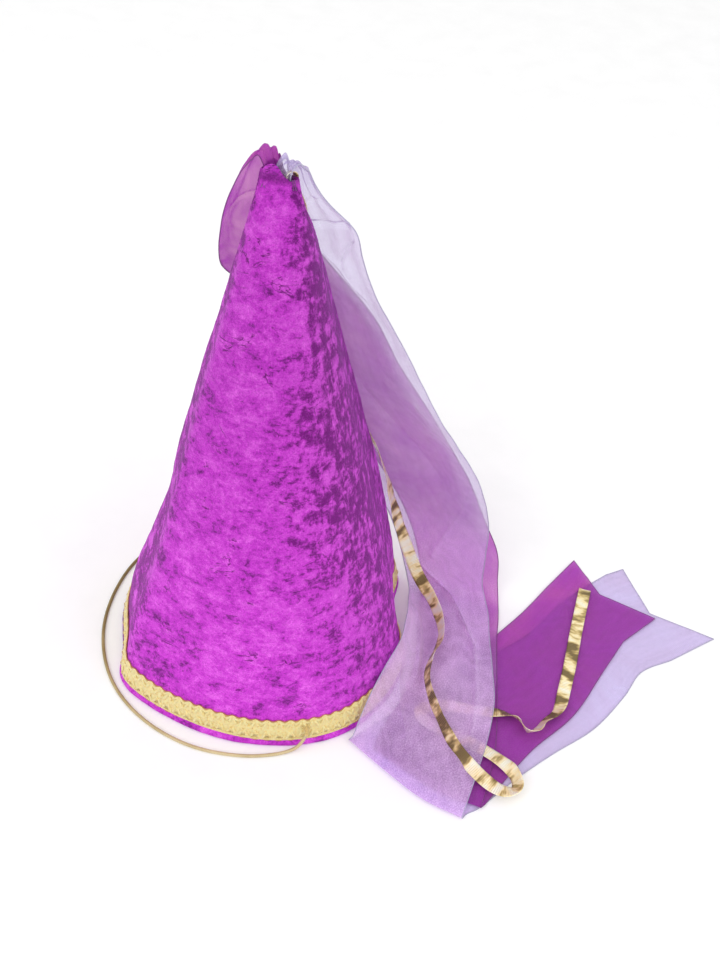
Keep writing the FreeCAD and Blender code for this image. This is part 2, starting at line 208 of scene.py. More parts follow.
class Bundle:
    """Gathers several tubes into one mesh."""

    def __init__(self):
        self.verts = []
        self.faces = []

    def tube(self, line, outward, radius, sides=6, closed=False):
        rings = tube_parts(line, outward, radius, sides, closed)
        first = len(self.verts)
        self.faces += grid_faces(len(rings), sides, closed, True, first)
        if not closed:
            self.faces.append(tuple(range(first + sides - 1, first - 1, -1)))
            last = first + (len(rings) - 1) * sides
            self.faces.append(tuple(range(last, last + sides)))
        self.verts += [tuple(v) for v in rings.reshape(-1, 3)]

    def build(self, name, material):
        return add_mesh(name, self.verts, self.faces, material)


# ---- materials ----
class Nodes:
    """Short ways to write a node material."""

    def __init__(self, name):
        self.material = bpy.data.materials.new(name)
        self.material.use_nodes = True
        self.tree = self.material.node_tree
        self.tree.nodes.clear()
        self.output = self.tree.nodes.new("ShaderNodeOutputMaterial")
        self.place = self.tree.nodes.new("ShaderNodeTexCoord")

    def add(self, kind, sockets=(), **settings):
        node = self.tree.nodes.new("ShaderNode" + kind)
        for key, value in settings.items():
            setattr(node, key, value)
        for key, value in dict(sockets).items():
            self.put(node.inputs[key], value)
        return node

    def put(self, socket, value):
        if isinstance(value, bpy.types.NodeSocket):
            self.tree.links.new(value, socket)
        elif socket.type == "RGBA" and len(value) == 3:
            socket.default_value = (*value, 1)
        else:
            socket.default_value = value

    def where(self, scale=(1, 1, 1), turn=(0, 0, 0), kind="Object"):
        sockets = {"Vector": self.place.outputs[kind], "Scale": scale, "Rotation": turn}
        return self.add("Mapping", sockets).outputs[0]

    def split(self, vector):
        return self.add("SeparateXYZ", {"Vector": vector}).outputs

    def noise(self, vector, scale, detail=3.0, roughness=0.55, distortion=0.0):
        sockets = {"Vector": vector, "Scale": scale, "Detail": detail,
                   "Roughness": roughness, "Distortion": distortion}
        return self.add("TexNoise", sockets).outputs["Fac"]

    def wave(self, vector, scale, distortion=0.0, detail=1.0, direction="X"):
        sockets = {"Vector": vector, "Scale": scale, "Distortion": distortion, "Detail": detail}
        return self.add("TexWave", sockets, bands_direction=direction).outputs["Fac"]

    def voronoi(self, vector, scale, smooth=0.3):
        sockets = {"Vector": vector, "Scale": scale, "Smoothness": smooth}
        return self.add("TexVoronoi", sockets, feature="SMOOTH_F1").outputs["Distance"]

    def math(self, operation, a, b=0.0, clamp=False):
        node = self.add("Math", operation=operation, use_clamp=clamp)
        self.put(node.inputs[0], a)
        self.put(node.inputs[1], b)
        return node.outputs[0]

    def times(self, a, b, clamp=False):
        return self.math("MULTIPLY", a, b, clamp)

    def plus(self, a, b, clamp=False):
        return self.math("ADD", a, b, clamp)

    def minus(self, a, b):
        return self.math("SUBTRACT", a, b)

    def levels(self, value, low, high, out_low=0.0, out_high=1.0):
        sockets = {"Value": value, "From Min": low, "From Max": high,
                   "To Min": out_low, "To Max": out_high}
        return self.add("MapRange", sockets).outputs[0]

    def ramp(self, value, stops):
        node = self.add("ValToRGB", {"Fac": value})
        marks = node.color_ramp.elements
        while len(marks) < len(stops):
            marks.new(0.5)
        for mark, (place, colour) in zip(marks, stops):
            mark.position = place
            mark.color = (*colour, 1)
        return node.outputs[0]

    def mix(self, share, a, b, blend="MIX"):
        node = self.add("MixRGB", {"Fac": share, "Color1": a, "Color2": b}, blend_type=blend)
        return node.outputs[0]

    def bump(self, height, strength, distance, after=None):
        sockets = {"Height": height, "Strength": strength, "Distance": distance}
        node = self.add("Bump", sockets)
        if after is not None:
            self.put(node.inputs["Normal"], after)
        return node.outputs[0]

    def finish(self, shader):
        self.tree.links.new(shader, self.output.inputs["Surface"])
        return self.material

    def surface(self, colour, roughness, sockets=()):
        """Finishes with one opaque shader that has this colour, roughness and other settings."""
        sockets = {"Base Color": colour, "Roughness": roughness, **dict(sockets)}
        return self.finish(self.add("BsdfPrincipled", sockets).outputs[0])


def velvet_material():
    """Crushed velvet: the pile lies in patches, so that it is bright or dark by its lie; painted
    shade darkens its right side, its left edge and a ring at the tip's mouth.
    """
    n = Nodes("crushed_velvet")
    x, _, z = n.split(n.where())
    # Painted shade: reach, across, start, right, left and shaded mark the cone's right side and left
    # edge for darkening.
    reach = n.levels(z, 0.0, 0.324, 0.096, 0.012)
    across = n.math("DIVIDE", x, reach)
    start = n.levels(z, 0.0, 0.16, 0.46, 0.0)
    right = n.math("DIVIDE", n.minus(across, start), 0.8, True)
    left = n.levels(across, -0.72, -0.98)
    shaded = n.math("MAXIMUM", right, n.times(left, 1.5))
    broad = n.noise(n.where((1, 1, 1.3)), 30, 4, 0.6, 0.8)
    patch = n.noise(n.where((1, 1, 1.5)), 100, 6, 0.72, 0.4)
    streak = n.noise(n.where((1, 1, 0.30)), 260, 5, 0.7, 0.4)
    fine = n.noise(n.where((1, 1, 1.2)), 380, 5, 0.75, 0.4)
    pile = n.noise(n.where(), 1250, 2, 0.8)
    lie = n.plus(n.times(patch, 0.6), n.times(fine, 0.4))
    lie = n.plus(lie, n.times(n.minus(broad, 0.5), 0.35))
    combed = n.plus(n.times(patch, 0.4), n.times(streak, 0.6))
    share = n.times(right, 0.8)
    field = n.plus(n.times(lie, n.minus(1.0, share)), n.times(combed, share))
    # The pile's patches, with the painted side shade added.
    lie_and_shade = n.plus(field, n.times(shaded, 0.115))
    dark = n.levels(lie_and_shade, 0.565, 0.635)
    ridge = n.noise(n.where((1, 1, 2.4), (0.3, 0, 0.4)), 34, 3, 0.6, 1.2)
    line = n.math("ABSOLUTE", n.minus(ridge, 0.5))
    line = n.levels(line, 0.004, 0.016, 1.0, 0.0)
    sparse = n.levels(n.noise(n.where(), 55, 3, 0.6), 0.55, 0.60)
    mark = n.times(line, sparse)
    # Painted shade: a dark ring round the tip's mouth, where the velvet turns in.
    rim = n.levels(n.math("ABSOLUTE", n.minus(z, 0.3250)), 0.001, 0.004, 1.0, 0.0)
    dark = n.math("MAXIMUM", dark, mark)
    dark = n.math("MAXIMUM", dark, n.times(rim, n.levels(fine, 0.35, 0.6, 0.5, 1.0)))
    bright = n.ramp(n.levels(n.minus(1.0, field), 0.36, 0.66), [
        (0.0, (0.40, 0.018, 0.46)), (0.45, (0.66, 0.048, 0.69)), (1.0, (0.94, 0.16, 0.94))])
    deep = n.mix(fine, (0.07, 0.0, 0.08), (0.30, 0.006, 0.32))
    colour = n.mix(n.times(dark, 0.9), bright, deep)
    colour = n.mix(n.levels(pile, 0.35, 0.65, 0.0, 0.6), colour, (0.45, 0.32, 0.50), "MULTIPLY")
    colour = n.mix(1.0, colour, n.levels(z, 0.04, 0.22, 1.0, 0.78), "MULTIPLY")
    height = n.minus(field, n.times(dark, 0.5))
    dents = n.bump(height, 0.6, 0.0015)
    return n.surface(colour, 0.7, {
        "Sheen Weight": 0.35, "Sheen Roughness": 0.45, "Sheen Tint": (0.9, 0.3, 1.0),
        "Specular IOR Level": 0.12, "Normal": n.bump(pile, 0.7, 0.0007, dents)})


def gimp_material():
    """Twisted pale gold yarn, with painted olive shade for its hollows, spread by noise."""
    n = Nodes("gold_gimp")
    twist = n.wave(n.where(turn=(0.5, 0.4, 0.3)), 700, 2.0, 2.0)
    fibre = n.noise(n.where(), 700, 4, 0.65)
    # Painted shade: the olive end of the ramp stands for the shade in the yarn's hollows.
    colour = n.ramp(fibre, [(0.3, (0.66, 0.44, 0.10)), (0.40, (1.0, 0.76, 0.28)),
                            (0.55, (1.0, 0.88, 0.42))])
    normal = n.bump(n.plus(twist, fibre), 0.7, 0.0004)
    return n.surface(colour, 0.4, {"Metallic": 0.15, "Normal": normal, "Sheen Weight": 0.4})


def thread_material(name, colour):
    """Sewing thread, a fine rolled edge of cloth, or a dark cord of painted shade."""
    n = Nodes(name)
    fibre = n.noise(n.where((1, 1, 3)), 1500, 3)
    dark = tuple(c * 0.55 for c in colour)
    shade = n.ramp(fibre, [(0.3, dark), (0.7, colour)])
    return n.surface(shade, 0.6, {"Sheen Weight": 0.4, "Normal": n.bump(fibre, 0.6, 0.0002)})


def elastic_material():
    """Elastic cord under a plaited cover of gold thread, with painted shade that makes its far part
    browner.
    """
    n = Nodes("elastic_cord")
    plait = n.wave(n.where(turn=(0.6, 0, 0.8)), 520, 0.5)
    counter = n.wave(n.where(turn=(-0.6, 0, 2.3)), 520, 0.5)
    weave = n.math("MAXIMUM", plait, counter)
    worn = n.noise(n.where(), 60, 4)
    # Painted shade: darker towards the back, lighter at the front; the worn noise adds real wear.
    side = n.split(n.where())[1]
    tone = n.plus(n.levels(side, -0.095, 0.0, 0.62, 0.12), n.levels(worn, 0.3, 0.7, -0.12, 0.12))
    colour = n.ramp(n.plus(tone, n.times(weave, 0.25)), [
        (0.1, (0.13, 0.08, 0.025)), (0.45, (0.36, 0.26, 0.10)), (1.0, (0.80, 0.66, 0.40))])
    return n.surface(colour, 0.45, {"Metallic": 0.3, "Normal": n.bump(weave, 0.6, 0.0003)})


def organza_material(name, tint, fabric, cover, sheen, lit_stretch):
    """Sheer woven ribbon: threads with light gaps between, closer together when seen slanting.

    Along one stretch, given by where it starts and ends along the ribbon, painted sheen and
    glints make it lighter, pinker and less clear.
    """
    n = Nodes(name)
    flat = n.where(kind="UV")
    warp = n.wave(flat, 480, 0.6)
    weft = n.wave(flat, 480, 0.6, direction="Y")
    cloud = n.noise(flat, 26, 5, 0.62, 0.8)
    glitter = n.noise(flat, 1150, 3, 0.8)
    moire = n.wave(n.where((1, 1.6, 1), (0, 0, 0.5), "UV"), 16, 26.0, 3.0)
    streak = n.noise(n.where((2.0, 60, 1), kind="UV"), 6, 3)
    slant = n.add("LayerWeight", {"Blend": 0.42}).outputs["Facing"]
    # Painted sheen: the stretch from start to end, at this strength, is made lighter, pinker, less
    # clear and more glittering.
    start, end, strength = lit_stretch
    along = n.plus(n.split(flat)[0], n.times(cloud, 0.03))
    rise, fall = n.levels(along, start, start + 0.03), n.levels(along, end - 0.02, end, 1.0, 0.0)
    painted_sheen = n.times(n.times(rise, fall), strength)
    weave = n.times(n.plus(warp, weft), 0.5)
    solid = n.times(weave, 0.14)
    solid = n.plus(solid, n.levels(cloud, 0.3, 0.7, -0.04, 0.26))
    solid = n.plus(solid, n.times(moire, 0.07))
    solid = n.plus(solid, n.times(slant, 0.45))
    speck = n.levels(glitter, 0.44, 0.64)
    solid = n.plus(solid, n.times(painted_sheen, n.times(speck, 0.24)))
    solid = n.plus(solid, cover, True)
    deeper = tuple(c * 0.7 for c in fabric)
    colour = n.mix(n.levels(streak, 0.3, 0.7, 0.0, 0.35), fabric, deeper)
    # Painted sheen: the lit stretch turns lighter and pinker.
    colour = n.mix(painted_sheen, colour, (0.88, 0.54, 1.0))
    # Glitter: the cloth's own sparkle everywhere, with more painted glints along the lit stretch.
    sparkle = n.times(speck, n.plus(painted_sheen, 0.15), True)
    colour = n.mix(n.times(sparkle, 0.40), colour, (1.0, 0.92, 1.0))
    normal = n.bump(n.plus(weave, n.times(glitter, 2.0)), 0.4, 0.0003)
    cloth = n.add("BsdfPrincipled", {
        "Base Color": colour, "Roughness": 0.35, "Sheen Weight": sheen, "Sheen Roughness": 0.3,
        "Sheen Tint": tint, "Specular IOR Level": 0.5, "Normal": normal})
    glow = n.add("BsdfTranslucent", {"Color": colour, "Normal": normal})
    # Painted sheen: the lit stretch lets less light through and reflects more.
    body = n.add("MixShader", {"Fac": n.levels(painted_sheen, 0.0, 1.0, 0.45, 0.15)})
    n.put(body.inputs[1], cloth.outputs[0])
    n.put(body.inputs[2], glow.outputs[0])
    clear = n.add("BsdfTransparent", {"Color": tint})
    whole = n.add("MixShader", {"Fac": solid})
    n.put(whole.inputs[1], clear.outputs[0])
    n.put(whole.inputs[2], body.outputs[0])
    return n.finish(whole.outputs[0])


def lame_material():
    """Flat metallic ribbon with fine ribs across it, and painted reflections as bright and dark
    blocks along it.
    """
    n = Nodes("gold_lame")
    flat = n.where(kind="UV")
    ribs = n.wave(flat, 260, 0.4)
    along = n.split(flat)[0]
    line = n.add("CombineXYZ", {"X": along}).outputs[0]
    patch = n.add("CombineXYZ", {"X": along, "Y": n.times(n.split(flat)[1], 0.4)})
    # Painted reflections: noise blocks along the ribbon, bright and dark.
    reflection_blocks = n.noise(patch.outputs[0], 95, 3, 0.6)
    broad = n.noise(line, 22, 1)
    tone = n.plus(n.times(reflection_blocks, 0.7), n.times(broad, 0.3))
    # Darker beyond 0.66 m along the ribbon, and from 0.34 to 0.54 m.
    tone = n.minus(tone, n.levels(along, 0.66, 0.74, 0.0, 0.04))
    rise, fall = n.levels(along, 0.34, 0.38), n.levels(along, 0.50, 0.54, 0.05, 0.0)
    tone = n.minus(tone, n.times(rise, fall))
    colour = n.ramp(tone, [(0.41, (0.20, 0.14, 0.05)), (0.45, (0.62, 0.46, 0.18)),
                           (0.48, (1.0, 0.84, 0.46)), (0.55, (1.0, 0.97, 0.78))])
    normal = n.bump(n.plus(ribs, n.times(reflection_blocks, 3.0)), 0.6, 0.0006)
    return n.surface(colour, 0.3, {"Metallic": 0.4, "Normal": normal})


def card_material():
    """Grey card with a few darker flecks."""
    n = Nodes("grey_card")
    fibre = n.noise(n.where((1, 1, 0.5)), 260, 5, 0.6)
    fleck = n.voronoi(n.where(), 500)
    colour = n.ramp(fibre, [(0.3, (0.42, 0.38, 0.32)), (0.7, (0.62, 0.58, 0.50))])
    colour = n.mix(n.levels(fleck, 0.0, 0.25, 0.3, 0.0), colour, (0.3, 0.25, 0.2))
    return n.surface(colour, 0.9, {"Normal": n.bump(fibre, 0.4, 0.0003)})


def tape_material():
    """Creped paper tape."""
    n = Nodes("paper_tape")
    crepe = n.wave(n.where(), 260, 6.0, 3.0, "Z")
    patch = n.noise(n.where(), 80, 4)
    colour = n.ramp(patch, [(0.3, (0.66, 0.56, 0.36)), (0.7, (0.80, 0.72, 0.52))])
    return n.surface(colour, 0.55, {"Normal": n.bump(crepe, 0.5, 0.0002)})


def lining_material():
    """Thin dark purple cloth."""
    n = Nodes("thin_lining")
    weave = n.plus(n.wave(n.where(), 500, 1.0, direction="Z"), n.wave(n.where(), 500, 1.0))
    patch = n.noise(n.where(), 40, 4)
    colour = n.ramp(patch, [(0.3, (0.16, 0.03, 0.20)), (0.7, (0.26, 0.06, 0.32))])
    return n.surface(colour, 0.5, {"Sheen Weight": 0.3, "Normal": n.bump(weave, 0.4, 0.0002)})


VELVET = velvet_material()
GIMP = gimp_material()
GOLD_THREAD = thread_material("gold_thread", (0.85, 0.62, 0.22))
PURPLE_THREAD = thread_material("purple_thread", (0.16, 0.01, 0.19))
ELASTIC = elastic_material()
# Painted shade: dark orange thread for the shade lines along the braid's edges.
EDGE_SHADE_THREAD = thread_material("painted_edge_shade", (0.60, 0.20, 0.06))
# The last three numbers give each ribbon's stretch of painted sheen: its start, end and strength.
MAGENTA = organza_material("magenta_organza", (0.85, 0.46, 0.66), (0.52, 0.065, 0.60), 0.36, 0.25,
                           (0.36, 0.52, 0.2))
LILAC = organza_material("lilac_organza", (0.83, 0.80, 0.97), (0.78, 0.66, 0.88), 0.18, 0.30,
                         (0.335, 0.58, 1.0))
MAGENTA_EDGE = thread_material("magenta_edge", (0.22, 0.01, 0.24))
LILAC_EDGE = thread_material("lilac_edge", (0.50, 0.46, 0.66))
LAME = lame_material()

# ---- cords ----
ELASTIC_DIAMETER = 0.0020
ELASTIC_ROUTE = [
    (0.0370, -0.0806, 0.0120), (0.0346, -0.0828, 0.0055), (0.0295, -0.0854, 0.0017),
    (0.0190, -0.0895, 0.0010), (0.0010, -0.0930, 0.0010), (-0.0250, -0.0915, 0.0010),
    (-0.0480, -0.0830, 0.0010), (-0.0680, -0.0695, 0.0010), (-0.0840, -0.0515, 0.0010),
    (-0.0945, -0.0290, 0.0010), (-0.0995, -0.0050, 0.0010), (-0.0985, 0.0210, 0.0010),
    (-0.0925, 0.0460, 0.0010), (-0.0810, 0.0660, 0.0010), (-0.0665, 0.0800, 0.0010),
    (-0.0530, 0.0870, 0.0010), (-0.0430, 0.0875, 0.0017), (-0.0375, 0.0840, 0.0055),
    (-0.0342, 0.0798, 0.0120)]

GOLD_WIDTH = 0.0080
GOLD_HALF_THICKNESS = 0.00012
GOLD_NARROW = 0.45       # its share of the width as far as GOLD_PINCHED, and whole from GOLD_FULL
GOLD_PINCHED = 0.055
GOLD_FULL = 0.085
# Each point with the way that the ribbon's face looks there.
GOLD_ROUTE = [
    ((0.0000, 0.0000, 0.3080), (0, -1, 0)), ((0.0005, 0.0000, 0.3180), (0, -1, 0)),
    ((0.0040, -0.0010, 0.3275), (-0.5, 0, 1)), ((0.0100, 0.0055, 0.3285), (0.4, 0.4, 0.8)),
    ((0.0115, 0.0120, 0.3170), (0.5, 0.8, 0.3)), ((0.0105, 0.0165, 0.3020), (0.4, 0.9, 0.2)),
    ((0.0100, 0.0220, 0.2830), (0.4, 0.9, 0.2)), ((0.0135, 0.0290, 0.2560), (0.4, 0.9, 0.2)),
    ((0.0235, 0.0400, 0.2060), (0.45, 0.85, 0.25)), ((0.0395, 0.0475, 0.1600), (0.5, 0.8, 0.3)),
    ((0.0622, 0.0486, 0.1200), (0.85, 0.3, 0.3)), ((0.0760, 0.0485, 0.0700), (0.7, -0.5, 0.4)),
    ((0.0920, 0.0480, 0.0280), (0.2, -0.9, 0.4)), ((0.0990, 0.0460, 0.0150), (-0.1, -0.7, 0.7)),
    ((0.1070, 0.0370, 0.0110), (-0.7, -0.4, 0.6)), ((0.1140, 0.0160, 0.0105), (-0.9, 0, 0.4)),
    ((0.1130, 0.0000, 0.0110), (-0.9, 0.2, 0.4)), ((0.1070, -0.0140, 0.0130), (-0.9, 0.3, 0.4)),
    ((0.1050, -0.0310, 0.0130), (-0.95, 0.1, 0.3)),
    ((0.1120, -0.0500, 0.0100), (-0.95, -0.2, 0.3)),
    ((0.1250, -0.0750, 0.0070), (-0.8, -0.4, 0.5)),
    ((0.1400, -0.0920, 0.0058), (-0.2, -0.2, 1)), ((0.1520, -0.1005, 0.0055), UP),
    ((0.1625, -0.0980, 0.0060), (-0.5, 0.4, 0.8)), ((0.1605, -0.0860, 0.0056), (-0.9, 0.3, 0.3)),
    ((0.1520, -0.0780, 0.0044), (-0.3, 0.3, 1)), ((0.1400, -0.0700, 0.0036), UP),
    ((0.1220, -0.0620, 0.0036), UP), ((0.1070, -0.0560, 0.0036), UP),
    ((0.1020, -0.0490, 0.0036), UP), ((0.1080, -0.0430, 0.0036), UP),
    ((0.1220, -0.0420, 0.0036), UP), ((0.1400, -0.0430, 0.0036), UP),
    ((0.1560, -0.0435, 0.0040), (0, 0.5, 0.8)), ((0.1640, -0.0470, 0.0052), (0.6, 0.8, 0.3)),
    ((0.1665, -0.0560, 0.0056), (0.8, 0.6, 0.3)), ((0.1735, -0.0555, 0.0056), (0.3, 0.9, 0.4)),
    ((0.1780, -0.0465, 0.0046), (-0.7, 0.5, 0.5)), ((0.1885, -0.0370, 0.0030), (-0.4, 0.3, 0.8)),
    ((0.1920, -0.0200, 0.0024), UP), ((0.1970, 0.0020, 0.0024), UP),
    ((0.2030, 0.0360, 0.0024), UP), ((0.2100, 0.0680, 0.0024), UP)]


def make_elastic():
    """The chin elastic, lying on the floor from one sewn end to the other."""
    cord = nurbs("elastic_loop", ELASTIC_ROUTE, ELASTIC_DIAMETER / 2, ELASTIC)
    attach(cord, "chin_strap")
    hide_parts("chin_elastic")


def make_gold_strip():
    """A flat ribbon that turns its face as its route says, with a slight dish across."""
    line = pinch_tip(read_line([point for point, _ in GOLD_ROUTE]), GOLD_KEEP)
    facing = unit(read_line([face for _, face in GOLD_ROUTE]))
    along = unit(np.gradient(line, axis=0))
    side = unit(np.cross(facing, along))
    face = np.cross(along, side)
    run = run_along(line)
    pinch = np.interp(run, [0, GOLD_PINCHED, GOLD_FULL], [GOLD_NARROW, GOLD_NARROW, 1.0])
    shares = np.linspace(-1, 1, 7)
    rows = []
    uvs = []
    for i in range(len(line)):
        wave = 0.00025 * math.sin(run[i] * 260) + 0.0002 * noise.noise(Vector((run[i] * 90, 0, 3)))
        ring = []
        for sign in (1, -1):
            for share in (shares if sign > 0 else shares[::-1]):
                dish = 0.0003 * share * share + wave * share
                offset = side[i] * share * GOLD_WIDTH / 2 * pinch[i]
                ring.append(line[i] + offset + face[i] * (dish + sign * GOLD_HALF_THICKNESS))
                uvs.append((run[i], (share + 1) / 2 * GOLD_WIDTH))
        rows.append(ring)
    rows = np.array(rows)
    count = rows.shape[1]
    faces = grid_faces(len(rows), count, False, True)
    faces.append(tuple(range(count - 1, -1, -1)))
    last = (len(rows) - 1) * count
    faces.append(tuple(range(last, last + count)))
    strip = add_mesh("gold_strip", rows.reshape(-1, 3), faces, LAME, uvs)
    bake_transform(strip)
    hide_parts("gold_ribbon")


make_elastic()


# ---- the cone's form ----
PINCH_LOW, PINCH_HIGH = 0.292, 0.322
PINCH_NEAR, PINCH_FAR = 0.013, 0.024
PINCH_MIDDLE = 0.003
PINCH_KEEP = 0.32        # the share of its depth that the mouth keeps
RIGHT_KEEP = 0.78        # the share of their width that the mouth's and ribbons' right side keep
GOLD_KEEP = 0.55         # the same, for the gold ribbon
RIGHT_REACH = 0.030
RIGHT_START = 0.004
PUFF_BASE = 0.325        # above this height the right side is flattened to a share of its rise
PUFF_KEEP = 0.62


def eased(share):
    """0 to 1, leaving and arriving softly."""
    share = np.clip(share, 0, 1)
    return share * share * (3 - 2 * share)


def pinch_tip(points, right_keep=RIGHT_KEEP):
    """Squeezes the tip's mouth from front to back, round the ribbons that come out of it."""
    points = np.array(points, float)
    x, y, z = points[..., 0].copy(), points[..., 1].copy(), points[..., 2].copy()
    rise = eased((z - PINCH_LOW) / (PINCH_HIGH - PINCH_LOW))
    reach = np.hypot(x, y)
    share = rise * (1 - eased((reach - PINCH_NEAR) / (PINCH_FAR - PINCH_NEAR)))
    points[..., 1] += share * (PINCH_MIDDLE - y) * (1 - PINCH_KEEP)
    right = rise * (1 - eased((reach - RIGHT_REACH) / RIGHT_REACH)) * eased(x / RIGHT_START)
    points[..., 0] -= right * x * (1 - right_keep)
    points[..., 2] -= right * np.maximum(z - PUFF_BASE, 0) * (1 - PUFF_KEEP)
    return points


def cad_skin(node):
    """A search tree over one CAD node's surface."""
    obj = bpy.data.objects[node]
    places = [obj.matrix_world @ v.co for v in obj.data.vertices]
    return BVHTree.FromPolygons(places, [p.vertices[:] for p in obj.data.polygons])


make_gold_strip()

CONE_HEIGHT = 0.324
ANGLE_STEPS = 360
HEIGHT_STEPS = 81
FAR = 0.3
SKIN_EDGE = 0.0004       # the cover is not read nearer than this to its upper and lower edges
# Shallow dents: angle and its spread in degrees, height and its reach, depth.
DENTS = [(182.0, 26.0, 0.108, 0.030, 0.0035), (20.0, 15.0, 0.010, 0.028, 0.0085),
         (190.0, 22.0, 0.045, 0.022, -0.0035), (14.0, 16.0, 0.058, 0.020, -0.0015)]


def measure_cone():
    """The velvet's radius at each degree and at even heights, read from the CAD cover."""
    skin = cad_skin("velvet_cover")
    table = np.zeros((ANGLE_STEPS, HEIGHT_STEPS + 1))
    for i in range(ANGLE_STEPS):
        angle = 2 * math.pi * i / ANGLE_STEPS
        out = Vector((math.cos(angle), math.sin(angle), 0))
        for j in range(HEIGHT_STEPS + 1):
            height = min(max(CONE_HEIGHT * j / HEIGHT_STEPS, SKIN_EDGE), CONE_HEIGHT - SKIN_EDGE)
            hit = skin.ray_cast(out * FAR + Vector((0, 0, height)), -out)
            table[i, j] = math.hypot(hit[0].x, hit[0].y)
    return table


CONE = measure_cone()


def radius_at(angle, height):
    """The velvet's radius at these angles (radians) and heights, with its small dents."""
    angle, height = np.broadcast_arrays(np.asarray(angle, float), np.asarray(height, float))
    a = (angle / (2 * math.pi) * ANGLE_STEPS) % ANGLE_STEPS
    h = np.clip(height / CONE_HEIGHT * HEIGHT_STEPS, 0, HEIGHT_STEPS - 1e-6)
    i, j = a.astype(int) % ANGLE_STEPS, h.astype(int)
    k = (i + 1) % ANGLE_STEPS
    s, t = a - np.floor(a), h - j
    low = CONE[i, j] * (1 - s) + CONE[k, j] * s
    high = CONE[i, j + 1] * (1 - s) + CONE[k, j + 1] * s
    radius = low * (1 - t) + high * t
    for middle, spread, level, reach, depth in DENTS:
        turn = ((np.degrees(angle) - middle + 180) % 360 - 180) / spread
        rise = (height - level) / reach
        radius = radius - depth * np.exp(-turn * turn - rise * rise)
    return radius


def on_cone(angle, height, lift=0.0):
    """Points at these angles and heights, lifted off the velvet."""
    radius = radius_at(angle, height) + lift
    angle, height, radius = np.broadcast_arrays(angle, height, radius)
    return np.stack([radius * np.cos(angle), radius * np.sin(angle), height], axis=-1)


def outward_at(angle):
    """Straight out from the cone's axis, at these angles."""
    angle = np.asarray(angle, float)
    return np.stack([np.cos(angle), np.sin(angle), np.zeros_like(angle)], axis=-1)


def swept(name, profile, count, material, first=0.0, last=360.0):
    """Sweeps a closed profile of (inset, height) points round the cone, or part of the way."""
    whole = last - first >= 360
    angles = np.radians(np.linspace(first, last, count, endpoint=not whole))
    rows = [on_cone(angles, np.full(count, height), -inset) for inset, height in profile]
    grid = pinch_tip(np.array(rows))
    faces = grid_faces(len(profile), count, True, whole)
    if not whole:
        faces.append(tuple(i * count for i in range(len(profile))))
        faces.append(tuple((i + 1) * count - 1 for i in range(len(profile) - 1, -1, -1)))
    return add_mesh(name, grid.reshape(-1, 3), faces, material)


def loop_profile(outer, inner, low, high, steps):
    """The section of a thin wall, with rounded ends."""
    middle, half = (outer + inner) / 2, (inner - outer) / 2
    points = [(outer, z) for z in np.linspace(low + half, high - half, steps)]
    points += [(middle - half * math.cos(a), high - half + half * math.sin(a))
               for a in (math.pi / 4, math.pi / 2, math.pi * 3 / 4)]
    points += [(inner, z) for z in np.linspace(high - half, low + half, steps)]
    points += [(middle + half * math.cos(a), low + half - half * math.sin(a))
               for a in (math.pi / 4, math.pi / 2, math.pi * 3 / 4)]
    return points


# ---- the hat's shells ----
VELVET_COUNT = 560
TURN_UP_TOP = 0.014
FOLD_INNER = 0.0034
FOLD_HEIGHT = 0.002
TIP_HEM = 0.312
MOUTH_LIP = [(0.0001, 0.3233), (0.0005, 0.3239), (0.0009, 0.3239), (0.0012, 0.3232)]


def velvet_profile():
    """From the top of the turned-up hem, under the rim, up the outside, over and into the tip."""
    points = [(FOLD_INNER, z) for z in np.linspace(TURN_UP_TOP, FOLD_HEIGHT, 10)]
    middle, half = FOLD_INNER / 2, FOLD_INNER / 2
    points += [(middle + half * math.cos(a), FOLD_HEIGHT - 0.0019 * math.sin(a))
               for a in np.linspace(0.2, math.pi - 0.2, 7)]
    points += [(0.0, z) for z in np.linspace(FOLD_HEIGHT, 0.3225, 300)]
    points += MOUTH_LIP
    points += [(0.0013, z) for z in np.linspace(0.3222, TIP_HEM, 8)]
    return points


DENT_SCALE, DENT_DEPTH = 26, 0.0006
CRUSH_SCALE, CRUSH_DEPTH = 95, 0.0003
PILE_SCALE, PILE_DEPTH = 300, 0.00008
PUCKER_SCALE, PUCKER_DEPTH, PUCKER_RISE = 260, 0.0005, 0.0012
HEM_ROLL = 0.0016        # how far the folded hem stands out under the braid
HEM_TOP = 0.0060
EDGE_LOW = 0.306         # the tip's edge is uneven above this height
FLAP_RISE = 0.0080       # how far the left part of the tip's edge stands up
FLAP_MIDDLE, FLAP_SPREAD = -0.0045, 0.0055


def flap(point):
    """How far the higher left part of the tip's edge stands up here, from 0 to 1."""
    return math.exp(-(((point[0] - FLAP_MIDDLE) / FLAP_SPREAD) ** 2))


